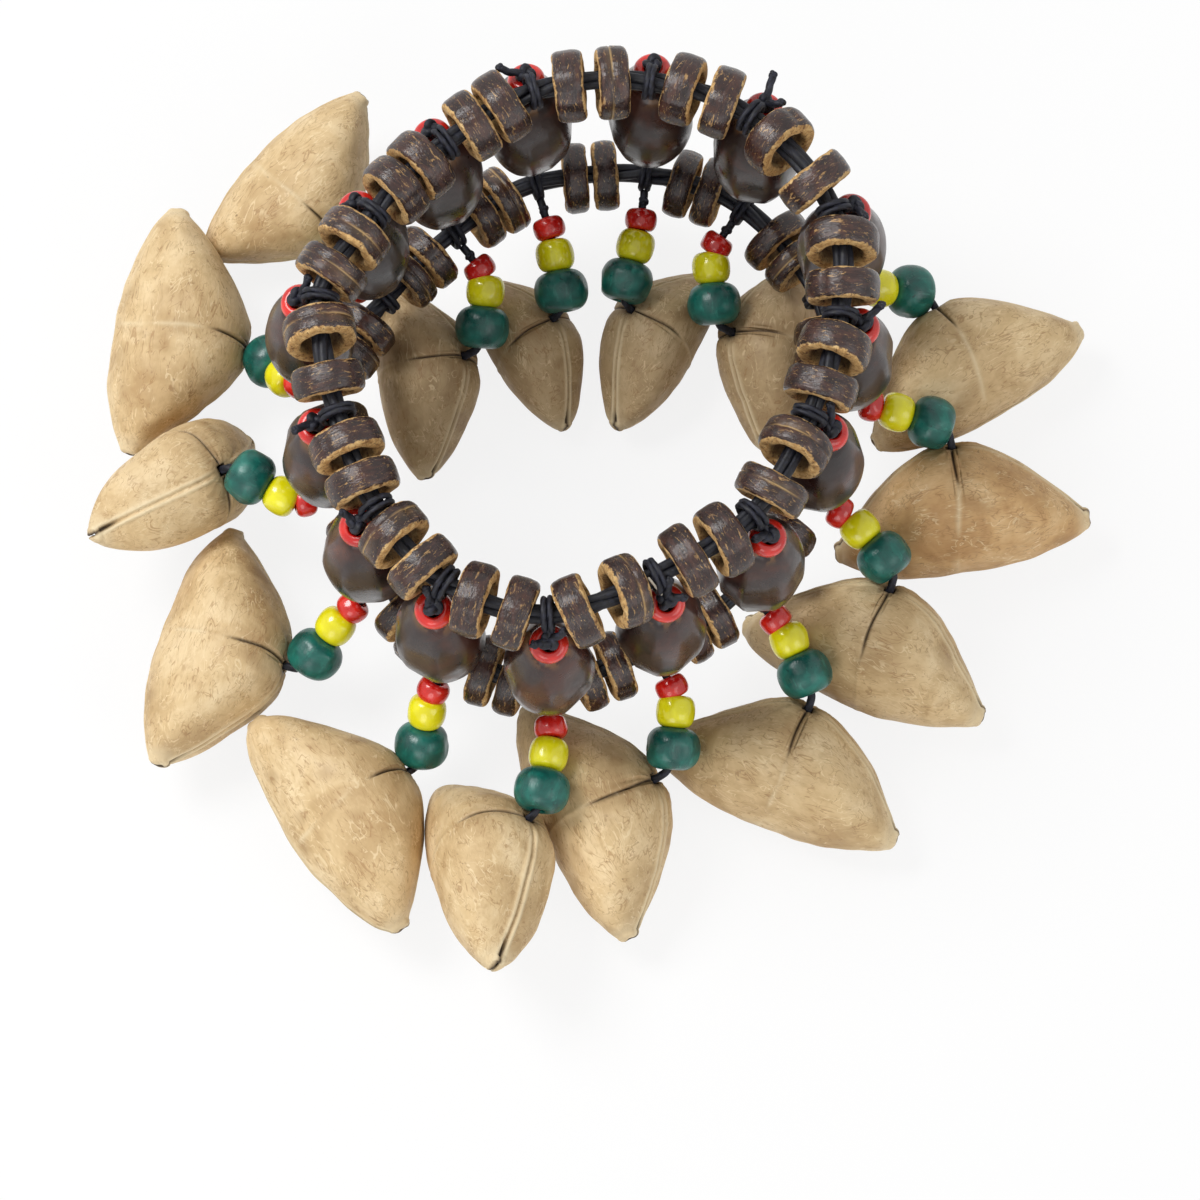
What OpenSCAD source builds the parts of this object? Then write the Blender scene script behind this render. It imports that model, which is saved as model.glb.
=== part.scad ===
// Nutshell shaker bracelet: a stretchy beaded wrist band with a hollow nutshell on a short bead drop
// at every tie. It lies on a table, with the wrist opening along Z and the lowest nutshells at Z = 0.

/* [Elastic] */
// Diameter of each elastic bundle
elastic_d = 2.4; // [1.6:0.1:2.8]
// Height of the lower elastic above the table
lower_elastic_z = 15.5; // [14:0.5:17]

/* [Coconut discs] */
// Outside diameter of a disc
disc_d = 8.4; // [7:0.1:9]
// Diameter of the hole in a disc
disc_hole_d = 4.6; // [4.2:0.1:5]
// Thickness of a disc on the upper elastic
upper_disc_thick = 3.6; // [2.8:0.1:3.8]
// Thickness of a disc on the lower elastic
lower_disc_thick = 3; // [2.6:0.1:3.4]
// Gap between the two discs of a pair at the elastic
disc_gap = 0.4; // [0.3:0.1:0.8]
// Free play along the elastic at each tie
disc_play = 1.5; // [1.2:0.1:4]
// Bevel at the edges of a disc
disc_bevel = 0.4; // [0.2:0.1:0.6]

/* [Barrel beads] */
// Length of a barrel bead
barrel_len = 21; // [16:0.5:28]
// Diameter at the middle of a barrel bead
barrel_d = 10.4; // [8:0.1:11]
// Diameter at the ends of a barrel bead
barrel_end_d = 4.8; // [4:0.1:6]
// Bore of a barrel bead
barrel_bore_d = 1.8; // [1.6:0.1:2.4]

/* [Small beads] */
// Diameter of a red glass bead
red_d = 3.6; // [3:0.1:4]
// Height of a red glass bead
red_h = 2.1; // [1.8:0.1:2.6]
// Diameter of a yellow glass bead
yellow_d = 4.2; // [3.4:0.1:4.8]
// Height of a yellow glass bead
yellow_h = 2.8; // [2.4:0.1:3.2]
// Diameter of a green wooden bead
green_d = 6.2; // [5:0.1:7]
// Height of a green wooden bead
green_h = 4.4; // [3.8:0.1:4.8]
// Bore of the small beads
bead_bore_d = 1.5; // [1.4:0.1:1.8]
// Bulge radius of a bead's side over half its height
bead_bulge = 1.17; // [1.05:0.01:1.4]

/* [Cord] */
// Diameter of the waxed cord
cord_d = 1; // [0.8:0.1:1.1]
// Diameter of the top knots
top_knot_d = 2.6; // [2.2:0.1:2.8]
// Diameter of the stop knot inside each nutshell
stop_knot_d = 2.4; // [2.2:0.1:2.8]
// Length of the cut tail above each top knot
tail_len = 3; // [2:0.5:5]

/* [Nutshells] */
// Length of a nutshell from tip to tip
nut_len = 29; // [24:0.5:31]
// Depth from the cord hole to the slit
nut_depth = 16; // [13:0.5:18]
// Thickness across the two faces
nut_thick = 14; // [11:0.5:15]
// Wall of a nutshell
nut_wall = 1.3; // [0.8:0.1:1.8]
// Width of the slit between the two lips
nut_slit = 0.7; // [0.4:0.1:1.2]
// Side of the cord hole at the apex
nut_hole = 2; // [1.6:0.1:2.2]
// Depth of the groove across each face
nut_groove = 0.5; // [0:0.1:0.8]

/* [Fits] */
// Clearance between pieces that move past each other
run_gap = 0.3; // [0.2:0.05:0.5]
// Gap between pieces threaded on one cord
thread_gap = 0.1; // [0.05:0.05:0.3]

/* [Hidden] */
$fn = 48;
tie_count = 15;
ties = [for (k = [1 : tie_count]) k];
first_tie_angle = 100;
tie_step = 360 / tie_count;

// How each tie lies: turned round the ring in degrees, and pushed out of the true circle
tie_turn = [1, 0, 0, -1, 2, 1, -2, -5, -6, -4, 0, 1, 0, 2, 0];
tie_push = [0, -2, -2, 0, -1, 0.5, 2.5, 2.5, -1, -2, -3, -1, 2, 2.5, 1.5];
// Drops that lie inside the ring point inwards
drop_side = [-1, -1, 1, 1, 1, 1, 1, 1, 1, 1, 1, 1, 1, -1, -1];
// Compass heading of the yellow and green beads on each drop
drop_heading = [280, 265, 90, 125, 150, 230, 260, 260, 265, 295, 310, 345, 5, 275, 255];
// Compass heading of each nutshell from its cord hole to its slit
nut_heading = [210, 190, 135, 170, 180, 165, 215, 220, 203, 247, 250, 280, 300, 350, 325];
// Tilt of each nutshell: slit side up, and tip to tip about the line from hole to slit
nut_pitch = [-55, -40, 5, 5, -50, -10, 5, -35, -30, -35, -40, -35, -15, -40, -55];
nut_roll = [0, 0, -15, -5, 55, 5, 0, 40, 0, 0, 5, 5, 0, 0, -5];
// Size of each nutshell against the nominal one
nut_size = [0.72, 0.82, 0.9, 1, 0.9, 1, 1, 0.95, 1, 1, 1, 1, 0.95, 0.82, 0.76];
// Lean of the upper discs, in degrees: first and second disc of the pair after each tie
disc_lean_first = [4, -6, -4, -10, -4, -5, -4, -10, -4, -10, -6, -8, -12, -4, -4];
disc_lean_second = [4, -6, 4, 10, 4, 5, 4, 10, 4, 10, 6, 8, 12, 4, 4];

elastic_r = elastic_d / 2;
cord_r = cord_d / 2;
disc_r = disc_d / 2;
red_r = red_d / 2;
loop_gap = 0.2;
loop_r = elastic_r + loop_gap + cord_r;
loop_out = loop_r + cord_r;

// The ring is as large as the pieces strung round it need
disc_pitch = red_d + 2 * max(upper_disc_thick, lower_disc_thick) + disc_play;
barrel_pitch = barrel_d + 2 * run_gap;
ring_from_discs = disc_pitch / (2 * sin(tie_step / 2));
ring_from_barrels = barrel_pitch / (2 * sin(tie_step / 2));
ring_r = max(ring_from_discs, ring_from_barrels);

barrel_z0 = lower_elastic_z + disc_r + run_gap;
barrel_z1 = barrel_z0 + barrel_len;
upper_red_z = barrel_z1 + run_gap + red_h / 2;
upper_elastic_z = upper_red_z + red_h / 2 + loop_out + thread_gap;
tie_cord_z0 = lower_elastic_z + cord_r;

// The top knot sits on the upper red bead, beside the elastic, and its cut tail leans out
top_knot_z = upper_red_z + red_h / 2 + thread_gap + top_knot_d / 2;
knot_reach = elastic_r + loop_gap + thread_gap + top_knot_d / 2;
top_knot_x = sqrt(knot_reach * knot_reach - pow(upper_elastic_z - top_knot_z, 2));
tail_turn = 40;
tail_tilt = 60;

// Points where the elastic meets each tie, and the frame of the tie there
function wrap(k) = (k - 1 + 2 * tie_count) % tie_count;
function polar(r, a) = [r * cos(a), r * sin(a)];
function unit(v) = v / norm(v);
function tie_angle(k) = first_tie_angle + tie_step * (k - 1) + tie_turn[k - 1];
tie_points = [for (k = ties) polar(ring_r + tie_push[k - 1], tie_angle(k))];
function tie_point(k) = tie_points[wrap(k)];
function tie_tangent(k) = unit(tie_point(k + 1) - tie_point(k - 1));
function tie_normal(k) = [tie_tangent(k)[1], -tie_tangent(k)[0]];
function heading_of(v) = atan2(v[1], v[0]);
function at_z(p, z) = [p[0], p[1], z];

// Smooth closed route of the elastic from tie k (u = 0) to the next tie (u = 1)
function route(k, u) =
    let (a = tie_point(k - 1), b = tie_point(k), c = tie_point(k + 1), d = tie_point(k + 2))
    (2 * b + (c - a) * u + (2 * a - 5 * b + 4 * c - d) * u * u + (3 * b - a - 3 * c + d) * u * u * u) / 2;
function route_dir(k, u) =
    let (a = tie_point(k - 1), b = tie_point(k), c = tie_point(k + 1), d = tie_point(k + 2))
    unit((c - a) + (2 * a - 5 * b + 4 * c - d) * 2 * u + (3 * b - a - 3 * c + d) * 3 * u * u);
function gap_len(k) = norm(tie_point(k + 1) - tie_point(k));

// Places along a drop, from the middle of the elastic: it swings at the hitch next to the loop,
// with the red bead on its first stretch and the yellow and green beads after the bend
hitch_over = 0.15;
turn_over = 0.1;
hitch_r = cord_r + hitch_over;
hitch_x = loop_out + loop_gap + hitch_r;
swing_room = 0.7;
bend_gap = 0.6;
neck_gap = 0.5;
drop_red_x = hitch_x + swing_room + red_h / 2;
bend_x = drop_red_x + red_h / 2 + bend_gap;
drop_yellow_x = bend_gap + yellow_h / 2;
drop_green_x = drop_yellow_x + yellow_h / 2 + thread_gap + green_h / 2;
neck_x = drop_green_x + green_h / 2 + neck_gap;
// Cord between the neck and the cord hole: straight on, and how much more for a sharp turn
neck_straight = 0.9;
neck_more = 1.7;
knot_set_back = 0.5;
stop_knot_x = nut_wall + knot_set_back + stop_knot_d / 2;

// Nutshell form: sections across the long axis, from one tip to the other. The roof runs from the
// rounded apex up to the tips, the base with the slit bows back at the tips, and the faces are fuller
// towards the apex
nut_tip = 1.4;
apex_round = 0.6;
roof_share = 0.63;
base_bow = 0.2;
base_power = 2.5;
face_power = 2.2;
face_round = 0.75;
face_skew = 0.2;
groove_half = 0.1;
wall_share = 0.45;
nut_sections = [-1, -0.88, -0.7, -0.48, -0.26, -0.12, -nut_hole / nut_len,
    nut_hole / nut_len, 0.12, 0.26, 0.48, 0.7, 0.88, 1];
nut_round = [0, 0.09, 0.18, 0.27, 0.36, 0.44];
hole_section = 6;
hole_side = 6;
function roof_arc(s) = sqrt(s * s + apex_round * apex_round) - apex_round;
function nut_groove_at(t) = abs(t) < groove_half ? nut_groove : 0;
function nut_roof(t) = roof_share * nut_depth * roof_arc(t) / roof_arc(1);
function nut_base(t) = nut_depth * (1 - base_bow * pow(abs(t), base_power));
function nut_half_depth(t) = (nut_base(t) - nut_roof(t)) / 2;
function nut_half_thick(t) =
    nut_tip + (nut_thick / 2 - nut_tip) * pow(1 - pow(abs(t), face_power), face_round) - nut_groove_at(t);
function nut_slit_angle(t) = asin(nut_slit / 2 / ((1 - face_skew) * nut_half_thick(t)));
nut_hole_angle = asin(nut_hole / 2 / ((1 + face_skew) * nut_half_thick(0)));
// Angles round one section, from the upper lip over the apex to the lower lip
function nut_angles(t) =
    let (lip = nut_slit_angle(t))
    let (upper = concat([for (f = nut_round) lip + f * (360 - 2 * lip)], [180 - nut_hole_angle]))
    concat(upper, [for (j = [len(upper) - 1 : -1 : 0]) 360 - upper[j]]);
function nut_inset(t, wall) = min(wall, wall_share * nut_half_depth(t), wall_share * nut_half_thick(t));
function nut_section(t, wall) =
    let (inset = nut_inset(t, wall), x0 = (nut_roof(t) + nut_base(t)) / 2)
    let (a = nut_half_depth(t) - inset, h = nut_half_thick(t) - inset)
    [for (f = nut_angles(t)) [x0 + a * cos(f), t * nut_len / 2, h * sin(f) * (1 - face_skew * cos(f))]];
nut_outside = [for (t = nut_sections) each nut_section(t, 0)];
nut_inside = [for (t = nut_sections) each nut_section(t, nut_wall)];
nut_rows = len(nut_sections);
nut_cols = 2 * len(nut_round) + 2;
nut_count = nut_rows * nut_cols;
function outer(i, j) = i * nut_cols + j;
function inner(i, j) = nut_count + outer(i, j);
function is_hole(i, j) = i == hole_section && j == hole_side;
nut_skin = [for (i = [0 : nut_rows - 2]) for (j = [0 : nut_cols - 2]) if (!is_hole(i, j)) each [
    [outer(i, j), outer(i, j + 1), outer(i + 1, j + 1)],
    [outer(i, j), outer(i + 1, j + 1), outer(i + 1, j)],
    [inner(i, j), inner(i + 1, j + 1), inner(i, j + 1)],
    [inner(i, j), inner(i + 1, j), inner(i + 1, j + 1)]]];
// Rims between the outer and inner skins: the slit with its open tips, and the cord hole
function rim(a, b) = [[a, b, nut_count + b], [a, nut_count + b, nut_count + a]];
nut_rims = concat(
    [for (i = [0 : nut_rows - 2]) each rim(outer(i, 0), outer(i + 1, 0))],
    [for (i = [0 : nut_rows - 2]) each rim(outer(i + 1, nut_cols - 1), outer(i, nut_cols - 1))],
    [for (j = [0 : nut_cols - 2]) each rim(outer(0, j + 1), outer(0, j))],
    [for (j = [0 : nut_cols - 2]) each rim(outer(nut_rows - 1, j), outer(nut_rows - 1, j + 1))],
    rim(outer(hole_section, hole_side), outer(hole_section, hole_side + 1)),
    rim(outer(hole_section, hole_side + 1), outer(hole_section + 1, hole_side + 1)),
    rim(outer(hole_section + 1, hole_side + 1), outer(hole_section + 1, hole_side)),
    rim(outer(hole_section + 1, hole_side), outer(hole_section, hole_side)));

// Each nutshell rests on the table, which sets the height of its cord hole
floor_gap = 0.1;
function turned_z(p, k) =
    p[0] * sin(nut_pitch[k - 1])
    + (p[1] * sin(nut_roll[k - 1]) + p[2] * cos(nut_roll[k - 1])) * cos(nut_pitch[k - 1]);
function apex_z(k) = floor_gap - nut_size[k - 1] * min([for (p = nut_outside) turned_z(p, k)]);
function nut_dir(k) = from_angles(nut_pitch[k - 1], nut_heading[k - 1]);
function from_angles(rise, heading) = [cos(rise) * cos(heading), cos(rise) * sin(heading), sin(rise)];
function first_heading(k) = heading_of(drop_side[k - 1] * tie_normal(k));
function neck_len(k) =
    neck_straight + neck_more * (1 - cos(drop_heading[k - 1] - nut_heading[k - 1]) * cos(nut_pitch[k - 1]));
// One slope takes the drop from the elastic down to the neck of its nutshell
function neck_z(k) = apex_z(k) - neck_len(k) * nut_dir(k)[2];
function drop_rise(k) = asin((neck_z(k) - lower_elastic_z) / (bend_x + neck_x));
function first_point(k, x) =
    at_z(tie_point(k), lower_elastic_z) + x * from_angles(drop_rise(k), first_heading(k));
function second_point(k, x) =
    first_point(k, bend_x) + x * from_angles(drop_rise(k), drop_heading[k - 1]);
function apex_point(k) = second_point(k, neck_x) + neck_len(k) * nut_dir(k);

bead_steps = 4;
tube_sides = 8;
elastic_steps = 5;
band_nodes = ["upper_elastic", "lower_elastic", "upper_discs", "lower_discs", "upper_red_beads", "tie_cords"];
barrel_nodes = [for (k = ties) str("barrel_", k)];
drop_nodes = [for (k = ties) str("bead_drop_", k)];
nut_nodes = [for (k = ties) str("nutshell_", k)];

// Places its children with X out of the ring, Y along the elastic and Z up
module at_tie(k, z) {
    translate(at_z(tie_point(k), z)) rotate([0, 0, heading_of(tie_normal(k))]) children();
}

// Round tube through stations of point, direction and radius
module tube(stations, closed) {
    points = [for (s = stations)
        let (u = unit(cross(s[1], [0, 0, 1])), v = cross(u, s[1]))
        for (j = [0 : tube_sides - 1])
            s[0] + s[2] * (cos(360 * j / tube_sides) * u + sin(360 * j / tube_sides) * v)];
    count = len(points);
    last = len(stations) - (closed ? 1 : 2);
    walls = [for (i = [0 : last]) for (j = [0 : tube_sides - 1])
        let (a = i * tube_sides + j, b = i * tube_sides + (j + 1) % tube_sides)
        let (c = (a + tube_sides) % count, d = (b + tube_sides) % count)
        each [[a, b, d], [a, d, c]]];
    ends = closed ? [] : [
        [for (j = [tube_sides - 1 : -1 : 0]) j],
        [for (j = [0 : tube_sides - 1]) count - tube_sides + j]];
    polyhedron(points = points, faces = concat(walls, ends));
}

// Cord loop round the elastic, centred on it
module elastic_loop() {
    rotate([90, 0, 0]) rotate_extrude() translate([loop_r, 0]) circle(r = cord_r);
}

module elastic_tube(z) {
    tube([for (k = ties) for (s = [0 : elastic_steps - 1])
        let (u = s / elastic_steps) [at_z(route(k, u), z), at_z(route_dir(k, u), 0), elastic_r]], true);
}

module coconut_disc(thick) {
    half = thick / 2;
    rotate_extrude() polygon([
        [disc_hole_d / 2 + disc_bevel, -half],
        [disc_r - disc_bevel, -half],
        [disc_r, -half + disc_bevel],
        [disc_r, half - disc_bevel],
        [disc_r - disc_bevel, half],
        [disc_hole_d / 2 + disc_bevel, half],
        [disc_hole_d / 2, half - disc_bevel],
        [disc_hole_d / 2, -half + disc_bevel]]);
}

// Half the distance between the two discs of a pair that lean apart
function pair_spread(thick, lean_a, lean_b) =
    thick / 2 / cos(max(abs(lean_a), abs(lean_b)))
    + disc_r * sin(abs(lean_a - lean_b) / 2) + disc_gap / 2;

// Each disc hangs on the elastic by the top of its hole
function disc_hang(thick, lean) = (disc_hole_d - elastic_d) / 2 - loop_gap - thick / 2 * sin(abs(lean));

// The pair of discs on the elastic between tie k and the next one
module disc_pair(k, z, thick, lean_a, lean_b) {
    spread = pair_spread(thick, lean_a, lean_b) / gap_len(k);
    for (disc = [[0.5 - spread, lean_a], [0.5 + spread, lean_b]])
        translate(at_z(route(k, disc[0]), z - disc_hang(thick, disc[1])))
            rotate([0, 0, heading_of(route_dir(k, 0.5))])
                rotate([0, 90 + disc[1], 0])
                    coconut_disc(thick);
}

// Round bead with its bore along Z, centred: the side bulges along an arc
module round_bead(d, h) {
    bulge_r = bead_bulge * h / 2;
    arc_end = asin(1 / bead_bulge);
    side = [for (j = [-bead_steps : bead_steps])
        let (a = arc_end * j / bead_steps) [d / 2 - bulge_r * (1 - cos(a)), bulge_r * sin(a)]];
    rotate_extrude() polygon(concat([[bead_bore_d / 2, -h / 2]], side, [[bead_bore_d / 2, h / 2]]));
}

module upper_elastic() {
    color([0.05, 0.05, 0.09]) elastic_tube(upper_elastic_z);
}

module lower_elastic() {
    color([0.05, 0.05, 0.09]) elastic_tube(lower_elastic_z);
}

module upper_discs() {
    color([0.26, 0.16, 0.1])
        for (k = ties)
            disc_pair(k, upper_elastic_z, upper_disc_thick, disc_lean_first[k - 1], disc_lean_second[k - 1]);
}

module lower_discs() {
    color([0.26, 0.16, 0.1]) for (k = ties) disc_pair(k, lower_elastic_z, lower_disc_thick, 0, 0);
}

module upper_red_beads() {
    color([0.8, 0.1, 0.07]) for (k = ties)
        at_tie(k, upper_red_z) translate([loop_r, 0, 0]) round_bead(red_d, red_h);
}

// Cord tied on the upper elastic with a tailed knot, down through the upper bead and the barrel
// and round the lower elastic
module tie_cord(k) {
    tail_side = k % 2 == 0 ? tail_turn : -tail_turn;
    at_tie(k, 0) {
        translate([0, 0, upper_elastic_z]) elastic_loop();
        translate([0, 0, lower_elastic_z]) elastic_loop();
        translate([top_knot_x, 0, top_knot_z]) {
            sphere(d = top_knot_d);
            rotate([0, tail_tilt, tail_side]) cylinder(h = top_knot_d / 2 + tail_len, r = cord_r);
        }
        translate([loop_r, 0, tie_cord_z0]) cylinder(h = top_knot_z - tie_cord_z0, r = cord_r);
    }
}

module tie_cords() {
    color([0.05, 0.05, 0.09]) for (k = ties) tie_cord(k);
}

module barrel(k) {
    half_len = barrel_len / 2;
    bulge = (barrel_d - barrel_end_d) / 2;
    arc_r = (half_len * half_len + bulge * bulge) / (2 * bulge);
    color([0.23, 0.11, 0.07])
        at_tie(k, (barrel_z0 + barrel_z1) / 2) translate([loop_r, 0, 0]) rotate_extrude() intersection() {
            translate([barrel_d / 2 - arc_r, 0]) circle(r = arc_r, $fn = 180);
            translate([barrel_bore_d / 2, -half_len]) square([barrel_d, barrel_len]);
        }
}

// Bead threaded on a drop
module drop_bead(k, place, heading, d, h) {
    translate(place) rotate([0, 90 - drop_rise(k), heading]) round_bead(d, h);
}

// Cord of a drop, thick at the hitch and at the stop knot inside the shell
module drop_cord(k) {
    first = from_angles(drop_rise(k), first_heading(k));
    second = from_angles(drop_rise(k), drop_heading[k - 1]);
    third = nut_dir(k);
    hitch = first_point(k, hitch_x);
    stop = apex_point(k) + stop_knot_x * third;
    knot_r = stop_knot_d / 2;
    tube([
        [hitch - cord_r * first, first, cord_r / 2],
        [hitch, first, hitch_r],
        [hitch + cord_r * first, first, cord_r],
        [first_point(k, bend_x), unit(first + second), cord_r + turn_over],
        [second_point(k, neck_x), unit(second + third), cord_r + turn_over],
        [stop - knot_r * third, third, cord_r],
        [stop - knot_r / 2 * third, third, knot_r],
        [stop + knot_r / 2 * third, third, knot_r],
        [stop + knot_r * third, third, cord_r]], false);
}

module bead_drop(k) {
    red = first_point(k, drop_red_x);
    yellow = second_point(k, drop_yellow_x);
    green = second_point(k, drop_green_x);
    color([0.05, 0.05, 0.09]) drop_cord(k);
    color([0.8, 0.1, 0.07]) drop_bead(k, red, first_heading(k), red_d, red_h);
    color([0.88, 0.85, 0.05]) drop_bead(k, yellow, drop_heading[k - 1], yellow_d, yellow_h);
    color([0.04, 0.3, 0.27]) drop_bead(k, green, drop_heading[k - 1], green_d, green_h);
}

module nutshell(k) {
    color([0.8, 0.68, 0.48])
        translate(apex_point(k))
            rotate([nut_roll[k - 1], -nut_pitch[k - 1], nut_heading[k - 1]])
                scale(nut_size[k - 1])
                    polyhedron(points = concat(nut_outside, nut_inside), faces = concat(nut_skin, nut_rims));
}

upper_elastic();
lower_elastic();
upper_discs();
lower_discs();
upper_red_beads();
tie_cords();
for (k = ties) barrel(k);
for (k = ties) bead_drop(k);
for (k = ties) nutshell(k);
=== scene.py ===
"""Dresses the nutshell shaker bracelet: shells, coconut discs, barrels, beads, cords and elastic."""

import math

import bmesh
import bpy
import numpy as np
from mathutils import Matrix, Vector


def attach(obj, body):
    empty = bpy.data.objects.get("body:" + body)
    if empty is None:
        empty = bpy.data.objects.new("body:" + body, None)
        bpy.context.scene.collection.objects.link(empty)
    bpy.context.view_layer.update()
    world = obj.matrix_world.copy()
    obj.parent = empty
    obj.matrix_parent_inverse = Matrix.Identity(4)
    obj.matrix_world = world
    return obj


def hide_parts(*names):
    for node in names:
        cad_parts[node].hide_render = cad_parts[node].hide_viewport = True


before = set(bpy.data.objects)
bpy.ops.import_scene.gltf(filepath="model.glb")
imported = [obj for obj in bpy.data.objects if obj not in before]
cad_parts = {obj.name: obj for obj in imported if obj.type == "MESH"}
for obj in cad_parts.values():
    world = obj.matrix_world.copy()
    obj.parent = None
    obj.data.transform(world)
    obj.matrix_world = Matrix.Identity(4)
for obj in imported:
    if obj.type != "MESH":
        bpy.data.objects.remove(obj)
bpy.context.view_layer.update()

MM = 0.001

# Random draws: the range of a start anywhere round a circle, and the seed of each kind of piece
ROUND = 6.3
NUT_SEED, BARREL_SEED, UPPER_RED_SEED, DROP_SEED, TIE_SEED = 400, 900, 1300, 1700, 2100
UPPER_DISC_SEED, LOWER_DISC_SEED = 71, 72
UPPER_ELASTIC_SEED, LOWER_ELASTIC_SEED = 31, 32

# The part's own values, in millimetres and degrees
TIES = range(1, 16)
ELASTIC_R = 1.2
LOWER_Z = 15.5
DISC_R = 4.2
DISC_HOLE_R = 2.3
UPPER_THICK, LOWER_THICK = 3.6, 3.0
DISC_GAP = 0.4
DISC_PLAY = 1.5
BARREL_LEN = 21.0
BARREL_R = 5.2
BARREL_END_R = 2.4
BARREL_BORE_R = 0.9
RED_D, RED_H = 3.6, 2.1
YELLOW_D, YELLOW_H = 4.2, 2.8
GREEN_D, GREEN_H = 6.2, 4.4
CORD_R = 0.5
KNOT_D = 2.6
STOP_R = 1.2
NUT_LEN, NUT_DEPTH, NUT_THICK, NUT_WALL = 29.0, 16.0, 14.0, 1.3
NUT_SLIT, NUT_HOLE, NUT_TIP = 0.7, 2.0, 1.4
APEX_ROUND, ROOF_SHARE = 0.6, 0.63
BASE_BOW, BASE_POWER = 0.2, 2.5
FACE_POWER, FACE_ROUND, FACE_SKEW = 2.2, 0.75, 0.2
GROOVE_HALF, GROOVE_DEEP, WALL_SHARE = 0.1, 0.5, 0.45
RUN_GAP, THREAD_GAP, LOOP_GAP = 0.3, 0.1, 0.2
TABLE_GAP = 0.1
HITCH_PLAY, HITCH_TO_RED = 0.15, 0.7
BEND_GAP, NECK_GAP, STOP_GAP = 0.6, 0.5, 0.5
NECK_MIN, NECK_TURN = 0.9, 1.7
TIE_START, TIE_STEP = 100, 24
LOOP_R = ELASTIC_R + LOOP_GAP + CORD_R
LOOP_OUT = LOOP_R + CORD_R
TIE_TURN = [1, 0, 0, -1, 2, 1, -2, -5, -6, -4, 0, 1, 0, 2, 0]
TIE_PUSH = [0, -2, -2, 0, -1, 0.5, 2.5, 2.5, -1, -2, -3, -1, 2, 2.5, 1.5]
DROP_SIDE = [-1, -1, 1, 1, 1, 1, 1, 1, 1, 1, 1, 1, 1, -1, -1]
DROP_HEADING = [280, 265, 90, 125, 150, 230, 260, 260, 265, 295, 310, 345, 5, 275, 255]
NUT_HEADING = [210, 190, 135, 170, 180, 165, 215, 220, 203, 247, 250, 280, 300, 350, 325]
NUT_PITCH = [-55, -40, 5, 5, -50, -10, 5, -35, -30, -35, -40, -35, -15, -40, -55]
NUT_ROLL = [0, 0, -15, -5, 55, 5, 0, 40, 0, 0, 5, 5, 0, 0, -5]
NUT_SIZE = [0.72, 0.82, 0.9, 1, 0.9, 1, 1, 0.95, 1, 1, 1, 1, 0.95, 0.82, 0.76]
LEAN_FIRST = [4, -6, -4, -10, -4, -5, -4, -10, -4, -10, -6, -8, -12, -4, -4]
LEAN_SECOND = [4, -6, 4, 10, 4, 5, 4, 10, 4, 10, 6, 8, 12, 4, 4]

RING_R = (RED_D + 2 * UPPER_THICK + DISC_PLAY) / (2 * math.sin(math.radians(TIE_STEP / 2)))
BARREL_Z0 = LOWER_Z + DISC_R + RUN_GAP
BARREL_Z1 = BARREL_Z0 + BARREL_LEN
UPPER_RED_Z = BARREL_Z1 + RUN_GAP + RED_H / 2
UPPER_Z = UPPER_RED_Z + RED_H / 2 + LOOP_OUT + THREAD_GAP
KNOT_Z = UPPER_RED_Z + RED_H / 2 + THREAD_GAP + KNOT_D / 2
KNOT_X = math.sqrt((ELASTIC_R + LOOP_GAP + THREAD_GAP + KNOT_D / 2) ** 2 - (UPPER_Z - KNOT_Z) ** 2)
HITCH_X = LOOP_OUT + LOOP_GAP + CORD_R + HITCH_PLAY
DROP_RED_X = HITCH_X + HITCH_TO_RED + RED_H / 2
BEND_X = DROP_RED_X + RED_H / 2 + BEND_GAP
DROP_YELLOW_X = BEND_GAP + YELLOW_H / 2
DROP_GREEN_X = DROP_YELLOW_X + YELLOW_H / 2 + THREAD_GAP + GREEN_H / 2
NECK_X = DROP_GREEN_X + GREEN_H / 2 + NECK_GAP
STOP_X = NUT_WALL + STOP_GAP + STOP_R


def cosd(a):
    return math.cos(math.radians(a))


def sind(a):
    return math.sin(math.radians(a))


def unit(v):
    v = np.asarray(v, float)
    return v / np.linalg.norm(v)


TIE_POINTS = [
    (RING_R + TIE_PUSH[k - 1]) * np.array([cosd(a), sind(a)])
    for k in TIES
    for a in [TIE_START + TIE_STEP * (k - 1) + TIE_TURN[k - 1]]
]


def tie_point(k):
    return TIE_POINTS[(k - 1) % len(TIE_POINTS)]


def tie_tangent(k):
    return unit(tie_point(k + 1) - tie_point(k - 1))


def tie_normal(k):
    """Direction straight out of the ring at tie k."""
    t = tie_tangent(k)
    return np.array([t[1], -t[0]])


def route(k, u):
    """Point of the ring's curve, a share u of the way from tie k to the next."""
    a, b, c, d = tie_point(k - 1), tie_point(k), tie_point(k + 1), tie_point(k + 2)
    return (2 * b + (c - a) * u + (2 * a - 5 * b + 4 * c - d) * u**2 + (3 * b - a - 3 * c + d) * u**3) / 2


def route_dir(k, u):
    """Direction of the ring's curve at the same point."""
    a, b, c, d = tie_point(k - 1), tie_point(k), tie_point(k + 1), tie_point(k + 2)
    return unit((c - a) + (2 * a - 5 * b + 4 * c - d) * 2 * u + (3 * b - a - 3 * c + d) * 3 * u**2)


def at_z(p, z):
    return np.array([p[0], p[1], z])


def from_angles(rise, heading):
    """Direction that climbs by rise and points to heading, in degrees."""
    return np.array([cosd(rise) * cosd(heading), cosd(rise) * sind(heading), sind(rise)])


def heading_of(v):
    return math.degrees(math.atan2(v[1], v[0]))


def roof_arc(t):
    return np.sqrt(t * t + APEX_ROUND**2) - APEX_ROUND


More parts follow.
